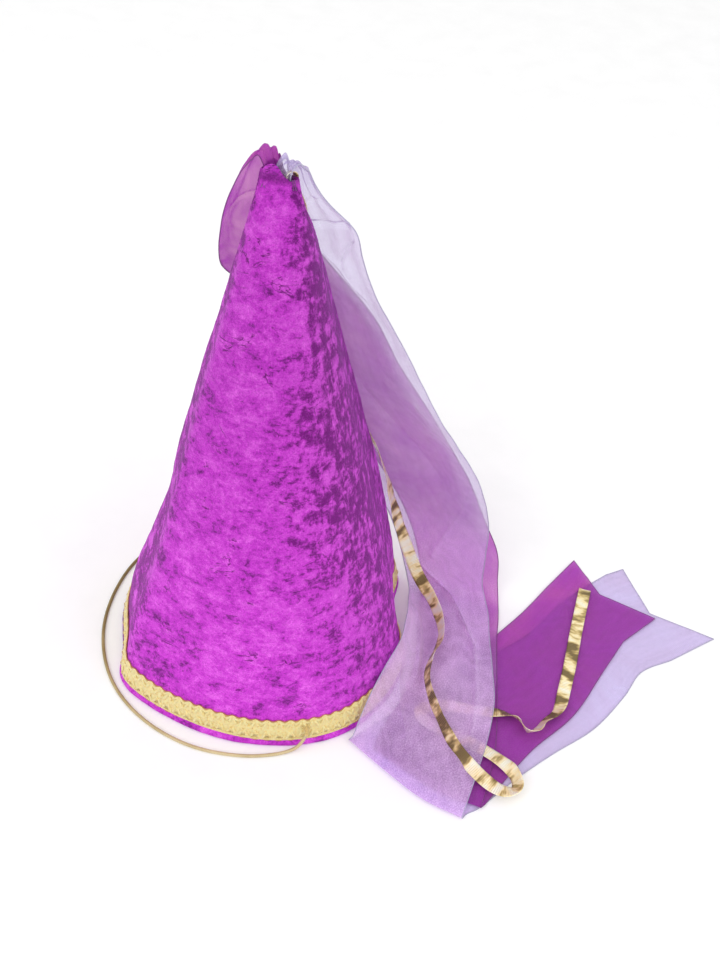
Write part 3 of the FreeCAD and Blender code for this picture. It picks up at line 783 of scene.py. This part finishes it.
def crush(row, angles, height):
    """Small soft dents and ridges of the crushed pile, and the uneven edge at the tip."""
    moved = row.copy()
    outward = outward_at(angles)
    edge = max(0.0, (height - EDGE_LOW) / (CONE_HEIGHT - EDGE_LOW)) ** 2
    roll = HEM_ROLL * math.sin(math.pi * min(max(1 - height / HEM_TOP, 0.0), 1.0) * 0.62)
    for k, point in enumerate(row):
        x, y, z = point
        low = noise.noise(Vector(point) * DENT_SCALE)
        mid = noise.noise(Vector((x, y, z * 1.5)) * CRUSH_SCALE + Vector((7, 1, 4)))
        fine = noise.noise(Vector((x, y, z * 1.4)) * PILE_SCALE + Vector((2, 9, 5)))
        moved[k] += outward[k] * (DENT_DEPTH * low + CRUSH_DEPTH * mid + PILE_DEPTH * fine + roll)
        pucker = noise.noise(Vector((x * PUCKER_SCALE, y * PUCKER_SCALE, 8)))
        moved[k] += outward[k] * PUCKER_DEPTH * edge * pucker
        moved[k][2] += PUCKER_RISE * edge * pucker + FLAP_RISE * edge * flap(point)
    return moved


def make_velvet():
    """The velvet sleeve, from its turned-up hem inside the rim to its edge inside the tip."""
    profile = velvet_profile()
    angles = np.radians(np.linspace(0, 360, VELVET_COUNT, endpoint=False))
    rows = []
    for inset, height in profile:
        row = on_cone(angles, np.full(VELVET_COUNT, height), -inset)
        rows.append(crush(row, angles, height))
    grid = pinch_tip(np.array(rows))
    grid[:, :, 2] = np.maximum(grid[:, :, 2], 0.0001)
    faces = grid_faces(len(profile), VELVET_COUNT, False, True)
    sleeve = add_mesh("velvet_sleeve", grid.reshape(-1, 3), faces, VELVET)
    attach(sleeve, "hat")
    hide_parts("velvet_cover")


# Each wall's outer and inner inset from the velvet, and its lower and upper edge.
CARD_WALL = (0.0014, 0.0024, 0.0014, 0.318)
TAPE_WALL = (0.0026, 0.0029, 0.016, 0.292)
LINING_WALL = (0.0031, 0.0036, 0.0142, 0.296)
TAPE_FIRST, TAPE_LAST = 31.0, 45.0


def make_inner_shells():
    """The card cone, the tape over its join and the lining, one inside the other."""
    card = swept("stiff_card", loop_profile(*CARD_WALL, 60), 240, card_material())
    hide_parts("card_cone")
    tape = swept("join_strip", loop_profile(*TAPE_WALL, 60), 16, tape_material(), TAPE_FIRST,
                 TAPE_LAST)
    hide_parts("card_join_tape")
    lining = swept("thin_lining", loop_profile(*LINING_WALL, 90), 300, lining_material())
    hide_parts("inner_lining")
    for shell in (card, tape, lining):
        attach(shell, "hat")


# ---- the gold braid ----
BRAID_LOOPS = 80
BRAID_SAMPLES = BRAID_LOOPS * 14
BRAID_MIDDLE = 0.012
BRAID_SWING = 0.0019     # how far each looped row swings up and down
STRAND_GAP = 0.0008
STRAND_RADIUS = 0.00048
# Each looped row's middle height, and where in its swing it starts.
BRAID_ROWS = ((0.0083, 0.0), (0.0117, math.pi), (0.0151, 0.0))
SCALLOP_HEIGHT = 0.0172
LOWER_HEIGHT = 0.0054
# The woven ground's section: height and lift off the velvet.
BRAID_GROUND = ((0.0052, 0.0004), (0.0085, 0.0007), (0.012, 0.0008), (0.0155, 0.0007),
                (0.0182, 0.0004), (0.0182, 0.00015), (0.012, 0.0002), (0.0052, 0.00015))
# Each painted shade cord's height, and where in its swing it starts.
SHADE_CORD_ROWS = ((0.0186, 0.0), (0.0047, math.pi))
STITCH_LENGTH = 0.0030
STITCH_RADIUS = 0.00024


def even_angles(count, height):
    """Angles that are evenly spaced along the rim's outline."""
    angles = np.linspace(0, 2 * math.pi, 1441)
    outline = on_cone(angles, np.full(len(angles), height))
    run = run_along(outline)
    return np.interp(np.linspace(0, run[-1], count, endpoint=False), run, angles)


def make_braid():
    """Gimp braid: three rows of looped cord, a scalloped upper edge and a plain lower one, with dark
    cords of painted shade along both edges.
    """
    angles = even_angles(BRAID_SAMPLES, BRAID_MIDDLE)
    turn = np.linspace(0, 2 * math.pi * BRAID_LOOPS, BRAID_SAMPLES, endpoint=False)
    outward = outward_at(angles)
    braid = Bundle()
    for middle, phase in BRAID_ROWS:
        for strand in (-STRAND_GAP, 0.0, STRAND_GAP):
            height = middle + strand + BRAID_SWING * np.sin(turn + phase)
            lift = 0.0010 + 0.0004 * np.cos(turn * 2 + phase) - 0.2 * abs(strand)
            braid.tube(on_cone(angles, height, lift), outward, STRAND_RADIUS, 6, True)
    for strand in (0.0, STRAND_GAP):
        height = SCALLOP_HEIGHT + strand + 0.0009 * np.sin(turn)
        braid.tube(on_cone(angles, height, 0.0009), outward, 0.00045, 6, True)
    for strand in (0.0, 0.0009):
        height = np.full(BRAID_SAMPLES, LOWER_HEIGHT + strand)
        braid.tube(on_cone(angles, height, 0.0008), outward, STRAND_RADIUS, 6, True)
    ground = np.array([on_cone(angles, np.full(BRAID_SAMPLES, z), lift) for z, lift in BRAID_GROUND])
    first = len(braid.verts)
    braid.verts += [tuple(v) for v in ground.reshape(-1, 3)]
    braid.faces += grid_faces(len(ground), BRAID_SAMPLES, True, True, first)
    # Painted shade: thin dark orange cords along the braid's upper and lower edges.
    shade_cords = Bundle()
    for height, phase in SHADE_CORD_ROWS:
        heights = height + 0.0005 * np.sin(turn + phase)
        shade_cords.tube(on_cone(angles, heights, 0.0005), outward, 0.00035, 6, True)
    line = shade_cords.build("gimp_edging", EDGE_SHADE_THREAD)
    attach(line, "hat")
    band = braid.build("gimp_braid", GIMP)
    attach(band, "hat")
    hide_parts("gold_braid")


def make_stitch_row(name, nodes, count, height, lift, slant, look, inside=False):
    """Short hand stitches round the rim, each a little uneven."""
    random.seed(name)
    material, slot = look
    rows = Bundle()
    side = -1 if inside else 1
    for angle in even_angles(count, height):
        step = STITCH_LENGTH / radius_at(angle, height)
        share = np.linspace(-0.5, 0.5, 7)
        lean = slant * random.uniform(0.7, 1.3)
        heights = height + lean * share + random.uniform(-0.0003, 0.0003)
        arch = side * (0.0005 * np.cos(share * math.pi) - 0.0002)
        line = on_cone(angle + share * step, heights, lift + arch)
        rows.tube(line, outward_at(angle + share * step), STITCH_RADIUS)
    obj = rows.build(name, material)
    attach(obj, "hat")
    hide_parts(*nodes)


# ---- thread work at the tip and the elastic's ends ----
FRONT_TACK_ANGLE = math.radians(-64.5)
BACK_TACK_ANGLE = math.radians(113.3)
TACK_HEIGHT = 0.0136
TACK_LIFT = 0.0012
TACK_BEND = 0.0016       # how far the cord's end runs on before it turns in to the braid
TACK_STITCHES = 9
TACK_SPREAD = 0.0027
WHIP_TURNS = 7
WHIP_STEPS = 14
WHIP_RADIUS = 0.00115
THREAD_RADIUS = 0.00030
BAR_RADIUS = 0.00028
BINDING_HEIGHT = 0.311
BINDING_RADIUS = 0.0060
BINDING_TURNS = 5
BINDING_PITCH = 0.0008
BINDING_STEPS = 28
TIP_STITCH_LOW = 0.3195
TIP_STITCH_RISE = 0.0048


def wound_thread():
    """The thread wound round the gathered ribbons, inside the tip."""
    axis = Vector(UP)
    side = axis.orthogonal().normalized()
    other = axis.cross(side)
    line = []
    outward = []
    for k in range(BINDING_TURNS * BINDING_STEPS + 1):
        angle = 2 * math.pi * k / BINDING_STEPS
        out = side * math.cos(angle) + other * math.sin(angle)
        wobble = 1 + 0.06 * noise.noise(Vector((k * 0.3, BINDING_RADIUS * 900, 1)))
        height = BINDING_HEIGHT + BINDING_PITCH * (k / BINDING_STEPS - BINDING_TURNS / 2)
        line.append(out * BINDING_RADIUS * wobble + axis * height)
        outward.append(out)
    return np.array(line), np.array(outward)


def make_tack(name, node, angle, end, before):
    """The elastic's end whipped with thread, bent in to the braid and sewn to it all round."""
    tack = Bundle()
    along = (Vector(end) - Vector(before)).normalized()
    outward = Vector(outward_at(angle))
    level = outward.cross(Vector(UP))
    end = Vector(end)
    foot = Vector(on_cone(angle, TACK_HEIGHT, TACK_LIFT))
    bend = end + along * TACK_BEND
    share = np.linspace(0, 1, WHIP_TURNS * WHIP_STEPS + 1)
    stub = [end.lerp(bend, s).lerp(bend.lerp(foot, s), s) for s in share]
    whipping = []
    ways = []
    for s, point in zip(share, stub):
        way = (bend - end).lerp(foot - bend, s).normalized()
        side = way.orthogonal().normalized()
        turn = 2 * math.pi * WHIP_TURNS * s
        out = side * math.cos(turn) + way.cross(side) * math.sin(turn)
        whipping.append(point + out * WHIP_RADIUS)
        ways.append(out)
    tack.tube(np.array(whipping), np.array(ways), THREAD_RADIUS)
    core = np.array([end - along * 0.0005] + stub[::WHIP_STEPS])
    tack.tube(core, np.tile(np.array(level), (len(core), 1)), ELASTIC_DIAMETER / 2, 10)
    for k in range(TACK_STITCHES):
        turn = 2 * math.pi * (k + 0.5) / TACK_STITCHES
        aside = TACK_SPREAD * math.cos(turn) / math.hypot(foot.x, foot.y)
        height = TACK_HEIGHT + TACK_SPREAD * 0.8 * math.sin(turn)
        rim = Vector(on_cone(angle - aside, height, 0.0010))
        top = foot + outward * 0.0007 + (rim - foot) * 0.30
        bar = np.array([top.lerp(rim, s) + outward * 0.0005 * math.sin(s * math.pi)
                        for s in np.linspace(0, 1, 6)])
        tack.tube(bar, np.tile(np.array(outward), (6, 1)), BAR_RADIUS)
    obj = tack.build(name, GOLD_THREAD)
    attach(obj, "hat")
    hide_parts(node)


def make_tip_threads():
    """The binding round the gathers, and the bars that hold the velvet at the tip's mouth."""
    binding = Bundle()
    line, outward = wound_thread()
    binding.tube(pinch_tip(line), outward, THREAD_RADIUS)
    obj = binding.build("tip_winding", PURPLE_THREAD)
    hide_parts("tip_binding_thread")
    stitches = Bundle()
    for quarter in range(4):
        for shift in (-0.10, 0.06):
            angle = math.radians(45 + 90 * quarter) + shift
            share = np.linspace(0, 1, 9)
            height = TIP_STITCH_LOW + TIP_STITCH_RISE * np.sin(share * math.pi)
            lift = 0.0007 - 0.0030 * share
            line = on_cone(np.full(9, angle) + 0.12 * share, np.minimum(height, 0.3236), lift)
            line[:, 2] = height
            sideways = np.array([math.sin(angle), -math.cos(angle), 0.0])
            stitches.tube(pinch_tip(line), np.tile(sideways, (9, 1)), 0.00025)
    sewing = stitches.build("tip_sewing", PURPLE_THREAD)
    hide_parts("tip_stitches")
    for piece in (obj, sewing):
        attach(piece, "hat")


make_velvet()
make_inner_shells()
make_braid()
make_stitch_row("braid_sewing", ["braid_stitches"], 72, 0.0075, 0.0018, 0.0006,
                (GOLD_THREAD, "gold_thread"))
make_stitch_row("hem_sewing", ["hem_stitches"], 60, 0.0115, -0.0038, 0.0016,
                (PURPLE_THREAD, "purple_thread"), True)
make_tack("front_tack", "elastic_tack_front", FRONT_TACK_ANGLE, ELASTIC_ROUTE[0], ELASTIC_ROUTE[1])
make_tack("back_tack", "elastic_tack_back", BACK_TACK_ANGLE, ELASTIC_ROUTE[-1], ELASTIC_ROUTE[-2])
make_tip_threads()

# ---- the organza ribbons ----
FLOOR_LILAC_TAIL = 0.0005
FLOOR_MAGENTA_TAIL = 0.0015
FLOOR_MAGENTA = 0.0026
FLOOR_LILAC = 0.0046

# Each cross-section in millimetres: left edge, two points between, right edge. A point
# without a height lies at its part's floor height.
LILAC_HANGING = [
    [(-4, -2.5, 308), (-1.3, -2.5, 308), (1.3, -2.5, 308), (4, -2.5, 308)],
    [(-4.5, -3, 318), (-1.5, -3, 318), (1.5, -3, 318), (4.5, -3, 318)],
    [(-4, -2.5, 327), (-1, -3, 328), (2.5, -3.2, 329), (6, -3, 330)],
    [(1, 5, 334), (4, 4, 336), (7, 3, 337), (10, 2, 336)],
    [(2, 14, 329), (6, 14, 330), (10.5, 12.5, 329), (14.5, 10.5, 328)],
    [(3, 19, 306), (10, 18.5, 307), (17, 16, 308), (23, 12, 309)],
    [(6, 24, 287), (16, 23, 288), (27, 19, 290), (36, 12.5, 292)],
    [(9, 29, 270), (20, 28, 272), (31, 22, 275), (40, 14, 278)],
    [(14, 35, 246), (28, 33, 248), (40, 27, 251), (49, 17, 254)],
    [(18, 42, 214), (36, 40, 217), (53, 33, 219), (67, 22, 219)],
    [(28, 52, 164), (51, 49, 166), (73, 41, 168), (92, 28, 169)],
    [(50, 61, 115), (74, 56, 117), (99, 47, 119), (121, 35, 119)],
    [(60, 69, 78), (86, 61, 78), (110, 51, 79), (133, 41, 79)],
    [(73.5, 65, 53), (95, 60, 50), (116, 52, 47), (136, 44, 46)],
    [(84, 59, 27), (102, 56, 22), (120, 52, 19), (138, 47, 20)],
    [(91, 48.5, 8), (107, 49, 7), (124, 49, 7), (141, 47, 8)]]
LILAC_FLOOR = [
    [(91, 33, 12), (105, 35, 7), (124, 37), (144, 35)],
    [(90, 13, 22), (104, 14, 8), (124, 16), (145, 14)],
    [(87, -14, 27), (101, -13, 10), (123, -12), (147, -12)],
    [(79, -37, 28), (95, -38, 10), (120, -38), (148, -37)],
    [(72, -53, 22), (90, -58, 8), (116, -62), (144, -64)],
    [(67, -65, 12), (85, -76), (110, -86), (138, -88)],
    [(64, -72.5), (84, -88), (108, -104), (131, -114)]]
LILAC_FOLD = [(62, -74), (83, -91), (107, -108.5), (130, -118)]
LILAC_TAIL = [
    [(64, -71.5), (84, -88), (108, -104), (132, -114.5)],
    [(90, -47), (106, -62), (124, -82), (141, -108)],
    [(118, -23), (131, -42), (146, -63), (160, -88)],
    [(150, 6), (161, -18), (172, -43), (184, -66)],
    [(173, 27), (186, 3), (198, -21), (210, -44)],
    [(190, 50), (205, 28), (219, 7), (231, -16)],
    [(205, 67), (219, 46), (232, 26), (243, 4)],
    [(226, 86), (236, 62), (250, 42), (264, 17)]]
LILAC_END = [(238, 93), (253, 55), (294, 39)]

MAGENTA_HANGING = [
    [(-4, 2.5, 308), (-1.3, 2.5, 308), (1.3, 2.5, 308), (4, 2.5, 308)],
    [(-5, 2.5, 318), (-1.7, 3, 318), (1.7, 3, 318), (4.5, 2.5, 318)],
    [(-8, 0, 328), (-5, 1.5, 328), (-2, 3, 328), (1, 5, 328)],
    [(-12, 1, 334), (-9, 3, 338), (-5, 5, 339), (-1, 7, 336)],
    [(-18.5, 3, 326), (-15, 9, 328), (-8, 14, 329), (-2, 16, 328)],
    [(-26, 2, 306), (-21, 13, 306), (-10, 20, 306), (1, 22, 306)],
    [(-29, 3, 289), (-25, 18, 288), (-11, 28, 287), (4, 30, 285)],
    [(-29, 12, 266), (-17, 32, 262), (6, 40, 257), (27, 36, 253)],
    [(-18, 38, 236), (4, 47, 233), (27, 46, 229), (49, 37, 226)],
    [(1, 50, 202), (23, 54, 198), (46, 50, 194), (67, 41, 192)],
    [(21, 60, 160), (44, 59, 157), (68, 54, 155), (90, 45, 154)],
    [(48, 72, 114), (71, 67, 112), (94, 59, 110), (116, 49, 108)],
    [(72, 73, 74), (93, 67, 72), (114, 60, 70), (133, 51, 70)],
    [(88, 70, 42), (107, 65, 38), (127, 60, 37), (145, 53, 39)],
    [(97, 64, 15), (114, 62, 11), (132, 60, 10), (149, 55, 13)]]
MAGENTA_FLOOR = [
    [(100, 53), (114, 52), (132, 50), (151, 46)],
    [(99, 35), (114, 36), (132, 36), (151, 33)],
    [(99, 13), (115, 14), (133, 15), (150, 14)],
    [(97, -14), (114, -13), (132, -13), (150, -13)],
    [(92, -38), (111, -38), (130, -39), (150, -40)],
    [(84, -57), (103, -60), (126, -64), (149, -67)],
    [(79, -70), (99, -77), (122, -86), (145, -92)],
    [(78, -76), (97, -88.5), (118, -101), (141, -108)]]
MAGENTA_FOLD = [(77, -77.5), (96, -90), (117, -102.5), (140, -110)]
MAGENTA_TAIL = [
    [(78, -76), (97, -88.5), (118, -101), (142, -108)],
    [(98, -50), (115, -64), (132, -80), (150, -96)],
    [(124, -15), (139, -32), (154, -49), (171, -66)],
    [(150, 20), (166, 2), (182, -18), (198, -36)],
    [(168, 43), (184, 28), (201, 13), (218, 0)],
    [(185, 68), (201, 54), (217, 40), (233, 27)]]
MAGENTA_END = [(204, 95), (220, 66), (256, 50)]

MAGENTA_WIDTH = 0.072
LILAC_WIDTH = 0.078
ACROSS = 81              # points across each ribbon
ALONG_SPACING = 0.0010
END_ROWS = 16
HAND_STEPS = 40          # steps between two listed rows, or two listed points of one
PLEATS = 3
PLEAT_DEPTH = 0.0016
FREE_WAVE, FREE_WRINKLE = 0.0015, 0.0005
LYING_WAVE, LYING_WRINKLE = 0.0003, 0.00016
LYING_HEIGHT = 0.006     # below this the cloth lies on the floor and keeps flat
LIFTED_RISE = 0.03
EDGE_RADIUS = 0.00030
CREASE_FADE = 0.018      # creases die away this near the selvedges
ROW_GAP = 0.024          # the listed rows' usual distance from each other


def at_height(row, height):
    """Lays a cross-section at this height where its points state none, in metres."""
    return [[c * MM for c in p] if len(p) == 3 else [p[0] * MM, p[1] * MM, height] for p in row]


def ribbon_rows(hanging, floor, fold, tail, floor_height, tail_height):
    """All of one ribbon's cross-sections, from inside the tip to the free end."""
    rows = [at_height(row, 0) for row in hanging]
    rows += [at_height(row, floor_height) for row in floor]
    rows.append(at_height(fold, (floor_height + tail_height) / 2))
    rows += [at_height(row, tail_height) for row in tail]
    return np.array(rows)


def across_points(rows):
    """Fills each cross-section out from its four given points to ACROSS points."""
    fine = np.swapaxes(through(np.swapaxes(rows, 0, 1), HAND_STEPS), 0, 1)
    steps = np.linspace(0, fine.shape[1] - 1, ACROSS)
    low = np.minimum(steps.astype(int), fine.shape[1] - 2)
    share = (steps - low)[None, :, None]
    return fine[:, low] * (1 - share) + fine[:, low + 1] * share


def swallow_end(last, end, height):
    """Rows from the last straight cross-section to the two points of the cut end."""
    left, notch, right = np.array(at_height(end, height))
    share = np.linspace(0, 1, ACROSS)[:, None]
    first_half = left + (notch - left) * share * 2
    second_half = notch + (right - notch) * (share * 2 - 1)
    cut = np.where(share < 0.5, first_half, second_half)
    steps = np.linspace(0, 1, END_ROWS + 1)[1:, None, None]
    return last[None] * (1 - steps) + cut[None] * steps


def crease_height(places, shares, width, creases):
    """Sharp ridges along straight creases, none at the selvedges."""
    total = np.zeros((len(places), len(shares)))
    along = places[:, None] * ROW_GAP
    across = shares[None, :] * width
    for row_a, share_a, row_b, share_b, height, breadth in creases:
        start = np.array([row_a * ROW_GAP, share_a * width])
        step = np.array([row_b * ROW_GAP, share_b * width]) - start
        t = ((along - start[0]) * step[0] + (across - start[1]) * step[1]) / step.dot(step)
        t = np.clip(t, 0, 1)
        distance = np.hypot(along - start[0] - t * step[0], across - start[1] - t * step[1])
        total += height * np.exp(-distance / breadth)
    return total * eased(np.minimum(across, width - across) / CREASE_FADE)


def crinkle(grid, places, run, width, seed, creases):
    """Soft lengthwise folds where the ribbon is gathered, creases, and small wrinkles."""
    normals = grid_normals(grid)
    spread = np.linalg.norm(np.diff(grid, axis=1), axis=2).sum(axis=1)
    narrow = np.clip(1 - spread / width, 0, 1)
    lifted = np.clip((grid[:, :, 2] - LYING_HEIGHT) / LIFTED_RISE, 0, 1)
    shares = np.linspace(0, 1, grid.shape[1])
    ridges = crease_height(places, shares, width, creases)
    out = grid.copy()
    for i in range(len(grid)):
        drift = 1.5 * noise.noise(Vector((run[i] * 9, seed, 0)))
        pleat = PLEAT_DEPTH * narrow[i] ** 1.4 * np.sin(2 * math.pi * PLEATS * shares + drift * 2)
        for j in range(grid.shape[1]):
            u, v = run[i], shares[j] * width
            soft = noise.noise(Vector((u * 18, v * 36, seed + 3)))
            small = noise.noise(Vector((u * 70, v * 100, seed + 7)))
            free = FREE_WAVE * soft + FREE_WRINKLE * small
            lying = LYING_WAVE * soft + LYING_WRINKLE * small
            move = pleat[j] + free * lifted[i, j] + lying * (1 - lifted[i, j]) + ridges[i, j]
            out[i, j] += normals[i, j] * move
    out[:, :, 2] = np.maximum(out[:, :, 2], 0.0002)
    return out


def make_ribbon(name, node, rows, end, tail_height, width, seed, looks, creases):
    """One organza ribbon as a sheet, with its rolled selvedges and cut end as fine tubes."""
    material, edge_material, slot = looks
    grid = through(across_points(rows), HAND_STEPS)
    grid, places = evenly(grid, ALONG_SPACING, HAND_STEPS)
    cut = swallow_end(grid[-1], end, tail_height)
    grid = np.concatenate([grid, cut])
    places = np.concatenate([places, np.full(len(cut), places[-1])])
    run = run_along(grid.mean(axis=1))
    grid = pinch_tip(crinkle(grid, places, run, width, seed, creases))
    shares = np.linspace(0, width, ACROSS)
    uvs = [(u, v) for u in run for v in shares]
    ribbon = add_mesh(name, grid.reshape(-1, 3), grid_faces(len(grid), ACROSS), material, uvs)
    normals = grid_normals(grid)
    edges = Bundle()
    for j in (0, ACROSS - 1):
        edges.tube(grid[:, j], normals[:, j], EDGE_RADIUS)
    edges.tube(grid[-1], normals[-1], EDGE_RADIUS * 0.8)
    hem = edges.build(name + "_edges", edge_material)
    for piece in (ribbon, hem):
        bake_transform(piece)
    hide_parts(node)


# Each crease as listed row and share of the width at both ends, its height and its breadth.
MAGENTA_CREASES = [
    (5.3, 0.2, 5.0, 0.6, 0.0020, 0.0012), (5.9, 0.2, 6.6, 0.6, -0.0012, 0.003),
    (10.5, 0.2, 12.8, 0.6, 0.0018, 0.003), (12.2, 0.5, 14.6, 0.9, -0.0010, 0.003),
    (16.0, 0.3, 18.5, 0.7, -0.0006, 0.004), (20.5, 0.2, 22.0, 0.55, -0.0006, 0.003),
    (26.2, 0.1, 27.4, 0.9, 0.0005, 0.0015), (28.0, 0.6, 29.2, 0.2, 0.0005, 0.002)]
LILAC_CREASES = [
    (6.0, 0.1, 5.9, 0.9, 0.0034, 0.0011), (5.3, 0.2, 5.1, 0.7, 0.0020, 0.0011),
    (6.5, 0.85, 7.4, 0.5, 0.0022, 0.0018), (6.8, 0.2, 8.2, 0.7, -0.0016, 0.002),
    (9.5, 0.2, 11.4, 0.6, 0.0016, 0.005), (11.2, 0.9, 13.6, 0.4, -0.0018, 0.003),
    (13.6, 0.05, 14.6, 0.45, -0.0030, 0.0018), (14.6, 0.45, 17.4, 0.84, -0.0040, 0.0015),
    (17.4, 0.84, 20.0, 0.88, -0.0026, 0.0018), (16.5, 0.15, 18.5, 0.35, -0.0018, 0.003),
    (18.4, 0.10, 20.5, 0.45, -0.0016, 0.003), (19.0, 0.7, 21.0, 0.5, -0.0010, 0.003),
    (25.4, 0.7, 25.9, 1.0, 0.0006, 0.0014), (29.0, 1.0, 30.2, 0.5, 0.0006, 0.0014)]


make_ribbon("magenta_ribbon", "veil_magenta",
            ribbon_rows(MAGENTA_HANGING, MAGENTA_FLOOR, MAGENTA_FOLD, MAGENTA_TAIL, FLOOR_MAGENTA,
                        FLOOR_MAGENTA_TAIL),
            MAGENTA_END, FLOOR_MAGENTA_TAIL, MAGENTA_WIDTH, 11,
            (MAGENTA, MAGENTA_EDGE, "magenta_organza"), MAGENTA_CREASES)
make_ribbon("lilac_ribbon", "veil_lilac",
            ribbon_rows(LILAC_HANGING, LILAC_FLOOR, LILAC_FOLD, LILAC_TAIL, FLOOR_LILAC,
                        FLOOR_LILAC_TAIL),
            LILAC_END, FLOOR_LILAC_TAIL, LILAC_WIDTH, 29,
            (LILAC, LILAC_EDGE, "lilac_organza"), LILAC_CREASES)


# ---- studio ----
FLOOR_REACH = 6.0


def make_floor():
    """The pale ground that the hat lies on."""
    n = Nodes("pale_floor")
    grain = n.noise(n.where(), 30, 3)
    colour = n.ramp(grain, [(0.3, (0.93, 0.93, 0.93)), (0.7, (0.96, 0.96, 0.96))])
    far = FLOOR_REACH
    corners = [(-far, -far, 0), (far, -far, 0), (far, far, 0), (-far, far, 0)]
    return add_mesh("floor", corners, [(0, 1, 2, 3)], n.surface(colour, 0.9))


def make_light(name, place, target, power, size):
    data = bpy.data.lights.new(name, "AREA")
    data.energy = power
    data.size = size
    light = bpy.data.objects.new(name, data)
    bpy.context.scene.collection.objects.link(light)
    light.location = place
    look = Vector(target) - Vector(place)
    light.rotation_mode = "QUATERNION"
    light.rotation_quaternion = look.to_track_quat("-Z", "Y")
    return light


def make_studio():
    floor = make_floor()
    world = bpy.data.worlds.new("studio")
    world.use_nodes = True
    background = world.node_tree.nodes["Background"]
    background.inputs["Color"].default_value = (1, 1, 1, 1)
    background.inputs["Strength"].default_value = 0.93
    bpy.context.scene.world = world
    bpy.context.scene.view_settings.view_transform = "Standard"
    key = make_light("key", (-0.8, -1.6, 1.8), (0, 0, 0.12), 20, 2.0)
    fill = make_light("fill", (0.9, -0.5, 1.2), (0.05, 0, 0.1), 2.2, 1.0)


make_studio()
